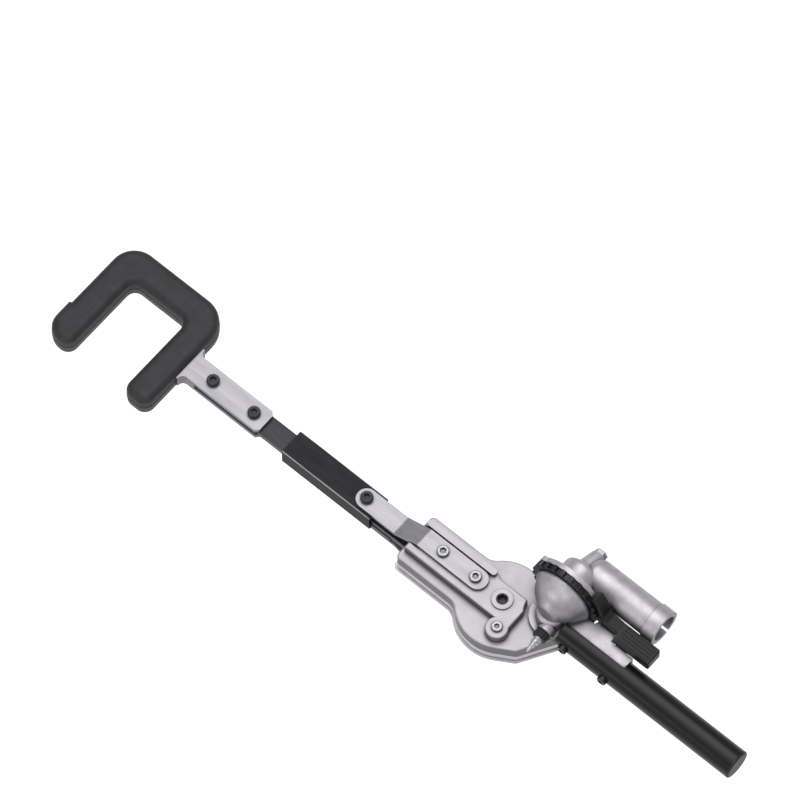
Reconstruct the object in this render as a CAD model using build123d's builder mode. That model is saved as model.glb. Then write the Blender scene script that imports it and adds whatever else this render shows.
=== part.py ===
# Shaker head of a pole harvester: a rubber-covered hook on a reciprocating bar, driven by a crank gear,
# on a folding elbow that clamps to the end of a drive pole.
# Frame: the origin is the centre of the pole socket's mouth. +X runs out of the mouth along the pole,
# +Z is up and the hook is at the far end, on -X. Millimetres.

import os
from math import acos, asin, atan2, cos, hypot, pi, radians, sin, sqrt, tan

from build123d import *

os.makedirs("parts", exist_ok=True)

# Fits
running_fit = 0.05  # radial, shaft in its bearing
seat_fit = 0.02  # radial, seated round pieces of one body
pass_gap = 0.4  # between faces that pass each other
screw_gap = 0.4  # radial, screw in its hole

# Where the tool line lies beside the pole
bar_offset_y = 60.0  # pole axis to bar axis, sideways
bar_drop_z = 35.0  # pole axis down to the bar's middle plane
crank_to_mouth = 117.5  # crank axis to the mouth of the pole socket

# Gears
spur_module = 1.3
crank_teeth = 48
pinion_teeth = 16
pinion_bearing_angle = 24.1  # direction from crank axis to pinion axis, from +X
spur_face = 7.0
mitre_module = 0.7
mitre_teeth = 24  # one for each folding step, so that the wheels mesh in every notch
mitre_face = 2.6
mitre_hub = 4.6
pressure_angle = 20.0
addendum_factor = 0.85
dedendum_factor = 1.1
backlash = 0.2

# Crank drive
crank_throw = 10.0
shaft_radius = 4.0
crank_seat_radius = 6.0
eccentric_wall = 3.0
rod_length = 58.0
rod_thickness = 5.0
rod_ring_wall = 4.5
rod_shank_width = 12.0
eye_radius = 7.0
wrist_radius = 3.0

# Small ball bearings of the gear case
bearing_outer = 9.5
bearing_width = 6.0

# Drive bar and guide
bar_width = 18.5
bar_thickness = 6.0
bar_show = 27.0  # bar between hook tang and guide sleeve
crosshead_room = 12.0  # wrist pin to the inside of the case's front wall, at the end of the stroke
sleeve_length = 93.0
sleeve_width = 24.0
sleeve_height = 20.0
sleeve_wall = 2.0
sleeve_to_joggle = 24.0
pad_tail = 20.0
guide_bolt_radius = 3.0

# Link plates
plate_thickness = 3.0
plate_width = 18.0
plate_inner_reach = 17.0  # crank axis to the plate's rounded end
plate_flat = 65.0
joggle_run = 24.0
plate_low = 45.5
plate_screw_near = 28.0  # crank axis to the nearer plate screw
plate_screw_pitch = 34.0
plate_screw_radius = 3.0
plate_screw_depth = 9.0

# Gear case
case_half_height = 22.0
terrace_height = 13.0
split_height = -6.0
roof_thickness = 4.0
floor_level = -14.0
neck_floor = -11.5
case_wall = 5.0
neck_wall = 6.0
front_wall = 12.0
gear_clearance = 1.2
gasket_thickness = 0.5
lower_lip = 1.5
lower_lip_height = 3.0
lower_draft = 1.5
lower_step = 3.0
neck_blend = 14.0
pinion_bulge = 18.5
case_corner = (31.0, -20.0)
case_corner_radius = 5.5
case_ear = (23.8, 28.4)
case_ear_radius = 6.0
plateau_half_width = 15.5
plateau_far_edge = 13.0  # past the plate's rounded end
plateau_end = 19.5
underside_radius = 27.0
lobe_centre = (12.0, -21.0)
lobe_radius = 9.5
rib_width = 6.0
rib_rise = 4.0
crank_boss_radius = 8.85
crank_boss_rise = 1.5
plug_radius = 5.0
plug_key = 7.4
case_screw_radius = 2.0
case_screw_depth = 9.0
case_screw_head = 3.5
seal_depth = 3.0
seal_rim = 2.5

# Elbow
rim_radius = 27.0
rim_band = 2.0
bell_waist = 19.0  # bell's radius level with the elbow axis
bell_shoulder = (11.7, 5.5)  # radius, and how far past the elbow axis
bell_nose = (5.0, 9.3)
collar_radius = 13.6
collar_base_radius = 19.0
collar_base_height = 4.0
collar_height = 16.0
collar_top_blend = 4.0
collar_moat = 4.0  # between the collar's base and the case's raised strip
spigot_radius = 12.0
clip_thickness = 1.0
clip_rise = 1.2
dowel_radius = 2.0
grease_plug_x = 43.0
grease_plug_y = 0.3
grease_plug_z = 20.2
grease_plug_radius = 5.8
grease_plug_length = 6.5
nipple_radius = 2.3
nipple_length = 15.0

# Handle arm, handle and latch, placed from the crank axis and the bar's middle plane
arm_wide_length = 90.0
arm_tip_length = 23.0
arm_inner_y = 15.6
arm_outer_y = 33.0
arm_tip_y = 27.0
arm_bottom = 13.5
arm_top = 26.0
tube_radius = 12.75
tube_wall = 2.2
tube_y = 13.25
tube_z = 17.0
tube_front = 54.0
tube_length = 176.0
handle_screw_radius = 2.5
handle_screw_inset = 9.0  # screws from the tube's front and from the arm's end
handle_screw_z = 17.5
spot_face_depth = 1.0
end_plug_cap = 2.0

# Index ring and latch
ring_radius = 33.0
ring_inner = 22.0
ring_thickness = 5.0
notch_count = 24
notch_depth = 2.5
notch_floor_width = 3.6
notch_mouth_width = 5.0
nose_flank_gap = 0.35
latch_x = 75.0
latch_z = 19.0
latch_pin_radius = 2.5
lever_hub_radius = 5.0
lever_width = 9.6
lever_rise = 38.5
shroud_wall = 4.0
shroud_angle = 42.0  # how far the lever's guard reaches round the ring
grip_length = 36.0
grip_width = 15.4
grip_bottom = 25.0
grip_top = 36.5
grip_ribs = 5
spring_inset = 6.0  # from the start of the grip
spring_mean_radius = 3.0
spring_wire = 1.0
spring_turns = 3
shelf_thickness = 2.5

# Pole socket
pole_radius = 12.0
socket_wall = 3.0
socket_bore_length = 57.5
lip_length = 12.0
lip_rise = 1.0
flange_radius = 32.0
flange_thickness = 9.2
flange_rim = 4.5
flange_boss_radius = 5.5
flange_boss_circle = 28.5
housing_radius = 17.5
housing_end = -1.5
housing_blend = 5.0
housing_wall = 3.5
housing_boss_foot = 10.5
housing_boss_top = 6.5
housing_boss_end = 14.5
housing_plug_radius = 3.0
housing_plug_length = 8.0
housing_plug_flats = 10.0
housing_plug_head = 4.5
socket_setback = 1.7
socket_end_blend = 8.0
input_bearing_outer = 11.0
input_shaft_radius = 6.0
drive_square = 5.2
drive_depth = 11.0
ear_angle = -70.0  # pinch ear's direction round the socket, from +Y towards +Z
ear_length = 14.0
ear_start = -38.0
ear_half_width = 8.0
ear_reach = 25.5
ear_bolt_reach = 19.5
pinch_slit = 2.0
pinch_bolt_radius = 2.5

# Hook
tang_length = 82.5
tang_width = 22.5
tang_plate = 4.0
tang_root_width = 34.0
tang_root_blend = 5.0
tang_chamfer = 3.0
tang_bar_overlap = 68.0
tang_screw_end = 13.0  # last tang screw to the tang's end
tang_screw_pitch = 44.0
tang_screw_radius = 3.0
hook_gap = 57.5
hook_arm_width = 26.0
hook_back_width = 27.0
hook_back_y = 52.5  # bar axis to the outer face of the hook's back
hook_arm_reach = 107.0  # outer face of the back to the arm tips
hook_height = 26.0
hook_outer_corner = 22.0  # back corner away from the tang
hook_inner_corner = 8.0
hook_far_tip_corner = 17.0
hook_edge = 7.0
hook_step_length = 33.0
hook_step_rise = 2.0
core_inset = 8.0
core_height = 10.0

# Worked-out places
crank_x = -crank_to_mouth
bar_y = -bar_offset_y
bar_z = -bar_drop_z
centre_distance = spur_module * (crank_teeth + pinion_teeth) / 2
pinion_x = centre_distance * cos(radians(pinion_bearing_angle))
pinion_y = centre_distance * sin(radians(pinion_bearing_angle))
fold_x = crank_x + pinion_x
elbow_y = bar_y + pinion_y
mitre_radius = mitre_module * mitre_teeth / 2
mitre_slant_teeth = mitre_teeth / 2 * sqrt(2)
mitre_tip_slope = tan(radians(45) + addendum_factor / mitre_slant_teeth)
mitre_root_slope = tan(radians(45) - dedendum_factor / mitre_slant_teeth)
mitre_hub_radius = mitre_radius * mitre_root_slope - 1.0
mitre_back = mitre_radius + pass_gap
mitre_front = mitre_radius - mitre_face - 1.0
gear_room = mitre_back * mitre_tip_slope + pass_gap
front_room = mitre_front * mitre_tip_slope + pass_gap
pivot_radius = mitre_radius + mitre_hub  # clears the bearing under the pinion's mitre wheel

gear_tip_radius = spur_module * (crank_teeth / 2 + addendum_factor)
eccentric_radius = crank_throw + shaft_radius + eccentric_wall
big_end_bore = eccentric_radius + running_fit
big_end_radius = big_end_bore + rod_ring_wall
belly_inside = max(gear_tip_radius, crank_throw + big_end_radius) + gear_clearance
belly_radius = belly_inside + case_wall
neck_inside = crank_throw + eye_radius + pass_gap
neck_half_width = neck_inside + neck_wall
wrist_x = -crank_throw - rod_length
neck_inner_x = wrist_x - crosshead_room - pass_gap
neck_x = neck_inner_x - front_wall
pinion_tip_radius = spur_module * (pinion_teeth / 2 + addendum_factor)
pinion_inside = pinion_tip_radius + gear_clearance
gear_bottom = floor_level + 1.0
lower_inside = gear_tip_radius + 0.8
rod_bottom = bar_thickness / 2 + pass_gap

plate_high_x = -plate_inner_reach - plate_flat
joggle_x = plate_high_x - joggle_run
plate_end_x = joggle_x - plate_low
sleeve_rear_x = joggle_x - sleeve_to_joggle
sleeve_front_x = sleeve_rear_x - sleeve_length
guide_bolt_x = plate_end_x + plate_width / 2
tang_end_x = sleeve_front_x - bar_show
hook_x = tang_end_x - tang_length
hook_length = hook_gap + 2 * hook_arm_width
bar_front_x = tang_end_x - tang_bar_overlap
tang_half_height = bar_thickness / 2 + tang_plate
sleeve_half_height = sleeve_height / 2
stroke = 2 * crank_throw

# Stack along the fold axis, from the pole axis towards the crank side
outer_mitre_back = -mitre_radius - mitre_hub
sleeve_outer_end = outer_mitre_back - pass_gap
flange_back = sleeve_outer_end - pass_gap - clip_thickness
flange_face = flange_back - flange_thickness
ring_face = flange_face - ring_thickness
rim_face = ring_face - pass_gap
inner_mitre_back = elbow_y + mitre_radius + mitre_hub
skirt_y = elbow_y + mitre_hub_radius + 2 * pass_gap
outer_bearing_y = sleeve_outer_end - bearing_width
inner_bearing_y = inner_mitre_back + pass_gap

# Stack along the pole axis
input_mitre_back = fold_x + mitre_radius + mitre_hub
input_bearing_x = input_mitre_back + pass_gap
socket_radius = pole_radius + socket_wall
swing_radius = flange_boss_circle + flange_boss_radius + pass_gap

# Along the handle arm
arm_length = arm_wide_length + arm_tip_length
handle_screw_xs = (tube_front + handle_screw_inset, arm_length - handle_screw_inset)
grip_start = arm_wide_length + 2.0
grip_end = grip_start + grip_length
spring_x = grip_start + spring_inset


def level(height):
    # Level plane over the crank axis, at a height over the bar's middle plane
    return Plane((crank_x, bar_y, bar_z + height))


def upright(y):
    # Upright plane along the tool, facing -Y, with local axes X and Z
    return Plane((crank_x, bar_y + y, bar_z), x_dir=(1, 0, 0), z_dir=(0, -1, 0))


def crosswise(x):
    # Plane across the tool, facing +X, with local axes Y and Z
    return Plane((crank_x + x, bar_y, bar_z), x_dir=(0, 1, 0), z_dir=(1, 0, 0))


def fold_plane(y):
    # Plane across the fold axis, facing -Y, with local axes X and Z
    return Plane((fold_x, y, 0), x_dir=(1, 0, 0), z_dir=(0, -1, 0))


def pole_plane(x):
    # Plane across the pole axis, facing +X, with local axes Y and Z
    return Plane((x, 0, 0), x_dir=(0, 1, 0), z_dir=(1, 0, 0))


def write(piece, label):
    piece.part.label = label
    export_step(piece.part, f"parts/{label}.step")


def involute(angle):
    return tan(angle) - angle


def tooth_outline(teeth, flank, first_tooth):
    # Closed outline of a toothed wheel. The flank is (radius, half angle) pairs from root to tip.
    points = []
    for tooth in range(teeth):
        middle = radians(first_tooth) + 2 * pi * tooth / teeth
        rising = [(radius, middle - half) for radius, half in flank]
        falling = [(radius, middle + half) for radius, half in reversed(flank)]
        points += [(radius * cos(angle), radius * sin(angle)) for radius, angle in rising + falling]
    return points


def spur_flank(teeth):
    pitch = spur_module * teeth / 2
    base = pitch * cos(radians(pressure_angle))
    root = pitch - dedendum_factor * spur_module
    tip = pitch + addendum_factor * spur_module
    flank = []
    for radius in (root, (root + 2 * pitch) / 3, (pitch + tip) / 2, tip):
        turn = involute(acos(base / max(radius, base)))
        half = pi / (2 * teeth) + involute(radians(pressure_angle)) - turn - backlash / (4 * pitch)
        flank.append((radius, half))
    return flank


def mitre_flank():
    # Flank on the wheel's back plane: the teeth run in straight lines to the apex of the pitch cone
    slant = mitre_radius * sqrt(2)
    flank = []
    for height in (-dedendum_factor, 0, addendum_factor):
        rise = height * mitre_module
        radius = mitre_radius * tan(radians(45) + rise / slant)
        thickness = pi * mitre_module / 4 - rise * tan(radians(pressure_angle)) - backlash / 4
        flank.append((radius, thickness / (mitre_radius + rise / sqrt(2))))
    return flank


def mitre_gear(apex, away, contact, first_tooth, bore):
    # Mitre wheel whose back faces away from the apex. Angles count from the direction of contact.
    def station(distance):
        spot = Vector(*apex) + Vector(*away) * distance
        return Plane(tuple(spot), x_dir=contact, z_dir=away)

    front = mitre_radius - mitre_face
    shrink = front / mitre_radius
    with BuildPart() as gear:
        with BuildSketch(station(mitre_radius)):
            with BuildLine():
                Polyline(*tooth_outline(mitre_teeth, mitre_flank(), first_tooth), close=True)
            make_face()
        with BuildSketch(station(front)):
            small = [(radius * shrink, half) for radius, half in mitre_flank()]
            with BuildLine():
                Polyline(*tooth_outline(mitre_teeth, small, first_tooth), close=True)
            make_face()
        loft(ruled=True)
        with BuildSketch(station(mitre_radius)):
            Circle(mitre_hub_radius)
        extrude(amount=mitre_hub)
        with BuildSketch(station(front)):
            Circle(bore + seat_fit)
        extrude(amount=mitre_face + mitre_hub, mode=Mode.SUBTRACT)
    return gear


def ball_bearing(seat, bore, outer, width):
    # Shielded ball bearing standing on a plane
    land = (outer - bore) * 0.3
    shield_depth = 0.4
    with BuildPart() as bearing:
        with BuildSketch(seat):
            Circle(outer)
            Circle(bore, mode=Mode.SUBTRACT)
        extrude(amount=width)
        for face, inward in ((seat, shield_depth), (seat.offset(width), -shield_depth)):
            with BuildSketch(face):
                Circle(outer - land)
                Circle(bore + land, mode=Mode.SUBTRACT)
            extrude(amount=inward, mode=Mode.SUBTRACT)
    return bearing


def snap_ring(seat, inner, outer, gap_angle):
    # Spring ring with a gap, standing on a plane
    with BuildPart() as ring:
        with BuildSketch(seat):
            Circle(outer)
            Circle(inner, mode=Mode.SUBTRACT)
            with Locations((outer, 0)):
                Rectangle(2 * outer - inner, outer * gap_angle, mode=Mode.SUBTRACT)
        extrude(amount=clip_thickness)
    return ring


def cap_screws(seat, points, shank, length, head, head_height, key):
    # Socket-head screws: heads on the plane, shanks running back from it
    with BuildPart() as screws:
        with BuildSketch(seat):
            with Locations(*points):
                Circle(head)
        extrude(amount=head_height)
        chamfer(screws.edges().group_by(Axis(seat.origin, seat.z_dir))[-1], length=head * 0.12)
        with BuildSketch(seat):
            with Locations(*points):
                Circle(shank)
        extrude(amount=-length)
        with BuildSketch(seat.offset(head_height)):
            with Locations(*points):
                RegularPolygon(key / 2, 6, major_radius=False)
        extrude(amount=-head_height * 0.6, mode=Mode.SUBTRACT)
    return screws


def hex_nuts(seat, points, bore, across_flats, height):
    # Nuts with one face on the plane, standing out from it
    with BuildPart() as nuts:
        with BuildSketch(seat):
            with Locations(*points):
                RegularPolygon(across_flats / 2, 6, major_radius=False)
                Circle(bore + seat_fit, mode=Mode.SUBTRACT)
        extrude(amount=height)
    return nuts


# Hook frame: a square C of flat metal with a forked tang that takes the drive bar
hook_middle_x = hook_x - hook_length / 2
hook_tip_y = hook_back_y - hook_arm_reach
hook_mouth_y = hook_back_y - hook_back_width
tang_screws_at = [
    (tang_end_x - tang_screw_end - tang_screw_pitch, 0),
    (tang_end_x - tang_screw_end, 0),
]
core_width = hook_arm_width - 2 * core_inset
core_back = hook_back_width - 2 * core_inset
with BuildPart() as hook_frame:
    with BuildSketch(level(-core_height / 2)) as core_outline:
        with Locations((hook_middle_x, hook_back_y - core_inset)):
            Rectangle(
                hook_length - 2 * core_inset,
                hook_arm_reach - 2 * core_inset,
                align=(Align.CENTER, Align.MAX),
            )
        far_corner = core_outline.vertices().group_by(Axis.Y)[-1].sort_by(Axis.X)[0]
        fillet(far_corner, radius=hook_outer_corner - core_inset)
        with Locations((hook_middle_x, hook_back_y - core_inset - core_back)):
            Rectangle(
                hook_length - 2 * core_inset - 2 * core_width,
                hook_arm_reach,
                align=(Align.CENTER, Align.MAX),
                mode=Mode.SUBTRACT,
            )
    extrude(amount=core_height)
    with BuildSketch(level(-tang_half_height)) as tang_outline:
        with Locations((tang_end_x, 0)):
            Rectangle(tang_length + core_inset, tang_width, align=(Align.MAX, Align.CENTER))
        with Locations((hook_x - core_inset, 0)):
            Rectangle(core_inset + 1.5, tang_root_width, align=(Align.MIN, Align.CENTER))
        root_corners = tang_outline.vertices().filter_by(
            lambda v: abs(abs(v.Y) - tang_width / 2) < 0.01 and v.X < tang_end_x - 1
        )
        fillet(root_corners, radius=tang_root_blend)
        far_corners = tang_outline.vertices().sort_by(Axis.X)[-2:]
        chamfer(far_corners, length=tang_chamfer)
    extrude(amount=2 * tang_half_height)
    with BuildSketch(level(-bar_thickness / 2)):
        with Locations((tang_end_x, 0)):
            Rectangle(tang_bar_overlap, tang_root_width, align=(Align.MAX, Align.CENTER))
    extrude(amount=bar_thickness, mode=Mode.SUBTRACT)
    with BuildSketch(level(-tang_half_height)):
        with Locations(*tang_screws_at):
            Circle(tang_screw_radius + screw_gap)
    extrude(amount=2 * tang_half_height, mode=Mode.SUBTRACT)
write(hook_frame, "hook_frame")

# Hook rubber: moulded over the C, with well-rounded edges and a step round the tip of the far arm
with BuildPart() as hook_rubber:
    with BuildSketch(level(-hook_height / 2)) as hook_outline:
        with Locations((hook_middle_x, hook_back_y)):
            Rectangle(hook_length, hook_arm_reach, align=(Align.CENTER, Align.MAX))
        far_corner = hook_outline.vertices().group_by(Axis.Y)[-1].sort_by(Axis.X)[0]
        fillet(far_corner, radius=hook_outer_corner)
        with Locations((hook_middle_x, hook_mouth_y)):
            Rectangle(hook_gap, hook_arm_reach, align=(Align.CENTER, Align.MAX), mode=Mode.SUBTRACT)
        with Locations((hook_middle_x - hook_length / 2, hook_tip_y)):
            Rectangle(2 * hook_step_rise, hook_step_length, align=(Align.CENTER, Align.MIN))
        far_tip = hook_outline.vertices().group_by(Axis.Y)[0].sort_by(Axis.X)[0]
        fillet(far_tip, radius=hook_far_tip_corner)
        roots = hook_outline.vertices().filter_by(lambda v: abs(v.Y - hook_mouth_y) < 0.01)
        fillet(roots, radius=hook_inner_corner)
    extrude(amount=hook_height)
    level_faces = hook_rubber.faces().filter_by(Axis.Z)
    fillet(level_faces.edges(), radius=hook_edge)
    add(hook_frame.part, mode=Mode.SUBTRACT)
write(hook_rubber, "hook_rubber")

# Screws and nuts of the tang
head_radius = tang_screw_radius + 2.3
write(
    cap_screws(
        level(tang_half_height),
        tang_screws_at,
        tang_screw_radius,
        2 * tang_half_height + 6.0,
        head_radius,
        4.0,
        5.0,
    ),
    "hook_screws",
)
write(
    hex_nuts(
        Plane((crank_x, bar_y, bar_z - tang_half_height), x_dir=(1, 0, 0), z_dir=(0, 0, -1)),
        tang_screws_at,
        tang_screw_radius,
        10.0,
        5.0,
    ),
    "hook_nuts",
)

# Drive bar: flat bar with a slot for the guide bolt and a round tail under the connecting rod's eye
guide_slot_width = 2 * (guide_bolt_radius + screw_gap)
with BuildPart() as drive_bar:
    with BuildSketch(level(-bar_thickness / 2)):
        with Locations((bar_front_x, 0)):
            Rectangle(wrist_x - bar_front_x, bar_width, align=(Align.MIN, Align.CENTER))
        with Locations((wrist_x, 0)):
            Circle(bar_width / 2)
            Circle(wrist_radius + running_fit, mode=Mode.SUBTRACT)
        with Locations(*tang_screws_at):
            Circle(tang_screw_radius + screw_gap, mode=Mode.SUBTRACT)
        with Locations((guide_bolt_x - stroke / 2, 0)):
            SlotCenterToCenter(stroke, guide_slot_width, mode=Mode.SUBTRACT)
    extrude(amount=bar_thickness)
write(drive_bar, "drive_bar")

# Guide sleeve: rectangular tube round the bar
with BuildPart() as guide_sleeve:
    with BuildSketch(crosswise(sleeve_front_x)) as sleeve_section:
        Rectangle(sleeve_width, sleeve_height)
        fillet(sleeve_section.vertices(), radius=sleeve_wall * 0.8)
        Rectangle(sleeve_width - 2 * sleeve_wall, sleeve_height - 2 * sleeve_wall, mode=Mode.SUBTRACT)
    extrude(amount=sleeve_length)
    with BuildSketch(level(-sleeve_half_height)):
        with Locations((guide_bolt_x, 0)):
            Circle(guide_bolt_radius + screw_gap)
    extrude(amount=sleeve_height, mode=Mode.SUBTRACT)
write(guide_sleeve, "guide_sleeve")

# Wear pads: plastic strips over and under the bar, the lower one longer
pad_bottom = bar_thickness / 2 + pass_gap
pad_top = sleeve_half_height - sleeve_wall
pad_width = sleeve_width - 2 * sleeve_wall - 0.2


def wear_pad(low, high, tail):
    with BuildPart() as pad:
        with BuildSketch(level(low)):
            with Locations((sleeve_front_x, 0)):
                Rectangle(sleeve_length + tail, pad_width, align=(Align.MIN, Align.CENTER))
            with Locations((guide_bolt_x, 0)):
                Circle(guide_bolt_radius + screw_gap, mode=Mode.SUBTRACT)
        extrude(amount=high - low)
    return pad


write(wear_pad(pad_bottom, pad_top, 0.0), "upper_wear_pad")
write(wear_pad(-pad_top, -pad_bottom, pad_tail), "lower_wear_pad")

# Guide bolt and its nut, through both plates, the sleeve and the slot in the bar
bolt_seat = sleeve_half_height + plate_thickness
write(
    cap_screws(
        level(bolt_seat),
        [(guide_bolt_x, 0)],
        guide_bolt_radius,
        2 * bolt_seat + 6.0,
        guide_bolt_radius + 2.3,
        4.0,
        5.0,
    ),
    "sleeve_bolt",
)
write(
    hex_nuts(
        Plane((crank_x, bar_y, bar_z - bolt_seat), x_dir=(1, 0, 0), z_dir=(0, 0, -1)),
        [(guide_bolt_x, 0)],
        guide_bolt_radius,
        10.0,
        5.0,
    ),
    "sleeve_nut",
)

# Link plates: joggled strips that carry the sleeve from the gear case
plate_screws_at = [(-plate_screw_near, 0), (-plate_screw_near - plate_screw_pitch, 0)]


def link_plate(side):
    # side is +1 for the plate on top and -1 for the one below
    low = side * sleeve_half_height
    high = side * case_half_height
    skin = side * plate_thickness
    with BuildPart() as plate:
        with BuildSketch(upright(plate_width / 2)):
            with BuildLine():
                Polyline(
                    (plate_end_x, low),
                    (joggle_x, low),
                    (plate_high_x, high),
                    (-plate_inner_reach, high),
                    (-plate_inner_reach, high + skin),
                    (plate_high_x, high + skin),
                    (joggle_x, low + skin),
                    (plate_end_x, low + skin),
                    close=True,
                )
            make_face()
        extrude(amount=plate_width)
        bends = plate.edges().filter_by(Axis.Y).filter_by_position(Axis.X, crank_x + joggle_x - 1,
                                                                   crank_x + plate_high_x + 1)
        fillet(bends, radius=plate_thickness)
        ends = plate.edges().filter_by(Axis.Z)
        fillet(ends, radius=plate_width / 2 - 0.2)
        with BuildSketch(level(-case_half_height - plate_thickness)):
            with Locations((guide_bolt_x, 0)):
                Circle(guide_bolt_radius + screw_gap)
            with Locations(*plate_screws_at):
                Circle(plate_screw_radius + screw_gap)
        extrude(amount=2 * (case_half_height + plate_thickness), mode=Mode.SUBTRACT)
    return plate


write(link_plate(1), "upper_link_plate")
write(link_plate(-1), "lower_link_plate")

# Plate screws: two into the top of the case and two into its underside
plate_seat = case_half_height + plate_thickness
top_screws = cap_screws(
    level(plate_seat),
    plate_screws_at,
    plate_screw_radius,
    plate_thickness + plate_screw_depth,
    plate_screw_radius + 2.0,
    3.0,
    5.0,
)
with BuildPart() as plate_screws:
    add(top_screws.part)
    mirror(top_screws.part, about=level(0))
write(plate_screws, "plate_screws")


# Gear case
def case_outline(plane, grow):
    # Neck, round belly, pinion end, corner and ear, grown outwards all round
    with BuildSketch(plane) as outline:
        Circle(belly_radius + grow)
        with Locations((pinion_x, pinion_y)):
            Circle(pinion_bulge + grow)
        with Locations(case_corner):
            Circle(case_corner_radius + grow)
        with Locations(case_ear):
            Circle(case_ear_radius + grow)
        make_hull()
        with Locations((neck_x - grow, 0)):
            Rectangle(-neck_x + grow, 2 * (neck_half_width + grow), align=(Align.MIN, Align.CENTER))
        junctions = outline.vertices().filter_by(
            lambda v: neck_x / 2 < v.X < 0 and abs(abs(v.Y) - neck_half_width - grow) < 0.01
        )
        fillet(junctions, radius=neck_blend)
        fillet(outline.vertices().group_by(Axis.X)[0], radius=4.0)
    return outline


def case_cavity(plane):
    # Room for the crank gear and rod, the bar's tail and the pinion
    with BuildSketch(plane) as cavity:
        Circle(belly_inside)
        with Locations((pinion_x, pinion_y)):
            Circle(pinion_inside)
        with Locations((neck_inner_x, 0)):
            Rectangle(-neck_inner_x, 2 * neck_inside, align=(Align.MIN, Align.CENTER))
    return cavity


def plateau(plane):
    # Raised strip along the neck and past the crank boss, with the lobe for the filler screw
    neck_edge = plate_width / 2 + 1.0 + rib_width
    with BuildSketch(plane) as raised:
        with BuildLine():
            Polyline(
                (neck_x + 3.0, -plateau_half_width),
                (plateau_end, -plateau_half_width),
                (plateau_end, plateau_far_edge),
                (-plate_inner_reach + 4.0, plateau_far_edge),
                (-plate_inner_reach, neck_edge),
                (neck_x + 3.0, neck_edge),
                close=True,
            )
        make_face()
        with Locations(lobe_centre):
            Circle(lobe_radius)
        with Locations((pinion_x, pinion_y)):
            Circle(collar_base_radius + collar_moat, mode=Mode.SUBTRACT)
    return raised


def roof_pocket(plane, start, end):
    # Room cored out under the raised strip, clear of the bearing seat and the screw holes
    with BuildSketch(plane) as pocket:
        with Locations((start, 0)):
            Rectangle(
                end - start,
                2 * (plateau_half_width - roof_thickness),
                align=(Align.MIN, Align.CENTER),
            )
        with Locations(*plate_screws_at):
            Circle(plate_screw_radius + 3.0, mode=Mode.SUBTRACT)
        Circle(bearing_outer + 3.0, mode=Mode.SUBTRACT)
    return pocket


screw_y = neck_inside + neck_wall / 2
case_screws_at = [
    (neck_x + 6.5, screw_y),
    (neck_x + 6.5, -screw_y),
    (neck_x * 0.42, screw_y),
    (neck_x * 0.42, -screw_y),
    case_corner,
    case_ear,
]
cavity_roof = terrace_height - roof_thickness
clip_recess = 2 * clip_thickness + 0.1
upper_bearing_z = cavity_roof + 0.5
plug_floor = upper_bearing_z + bearing_width + 1.0
bar_slot = (bar_width + 2 * pass_gap, bar_thickness + 2 * pass_gap)
dowel_at = (pinion_x - spigot_radius - 4.2, pinion_y)
seal_outer = (bar_slot[0] + 2 * seal_rim, bar_slot[1] + 2 * seal_rim)

# Ramp that clears the joggle of the plate on top
ramp_slope = (case_half_height - sleeve_half_height) / joggle_run
ramp_start = neck_x - 5.0
with BuildPart() as plate_ramp:
    with BuildSketch(upright(plate_width / 2 + 1.0)):
        with BuildLine():
            Polyline(
                (ramp_start, sleeve_half_height + ramp_slope * (ramp_start - joggle_x) - pass_gap),
                (plate_high_x - 1.0, case_half_height - ramp_slope - pass_gap),
                (plate_high_x + 3.0, case_half_height),
                (plate_high_x + 3.0, case_half_height + 1.0),
                (ramp_start, case_half_height + 1.0),
                close=True,
            )
        make_face()
    extrude(amount=plate_width + 2.0)

# Room for the elbow's bell over the terrace
with BuildPart() as bell_room:
    with BuildSketch(Plane.XY):
        with BuildLine():
            Polyline(
                (fold_x, elbow_y - bell_nose[1] - 1.0),
                (fold_x + bell_nose[0] + 1.0, elbow_y - bell_nose[1] - 1.0),
                (fold_x + bell_shoulder[0] + 1.5, elbow_y - bell_shoulder[1]),
                (fold_x + bell_waist + 1.5, elbow_y),
                (fold_x + rim_radius + 1.0, rim_face - rim_band - 1.5),
                (fold_x + rim_radius + 1.0, rim_face),
                (fold_x, rim_face),
                close=True,
            )
        make_face()
    revolve(axis=Axis((fold_x, 0, 0), (0, 1, 0)))
    with BuildSketch(level(terrace_height)):
        with Locations((pinion_x, pinion_y)):
            Rectangle(4 * rim_radius, 4 * rim_radius)
    extrude(amount=-2 * rim_radius, mode=Mode.SUBTRACT)

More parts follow.
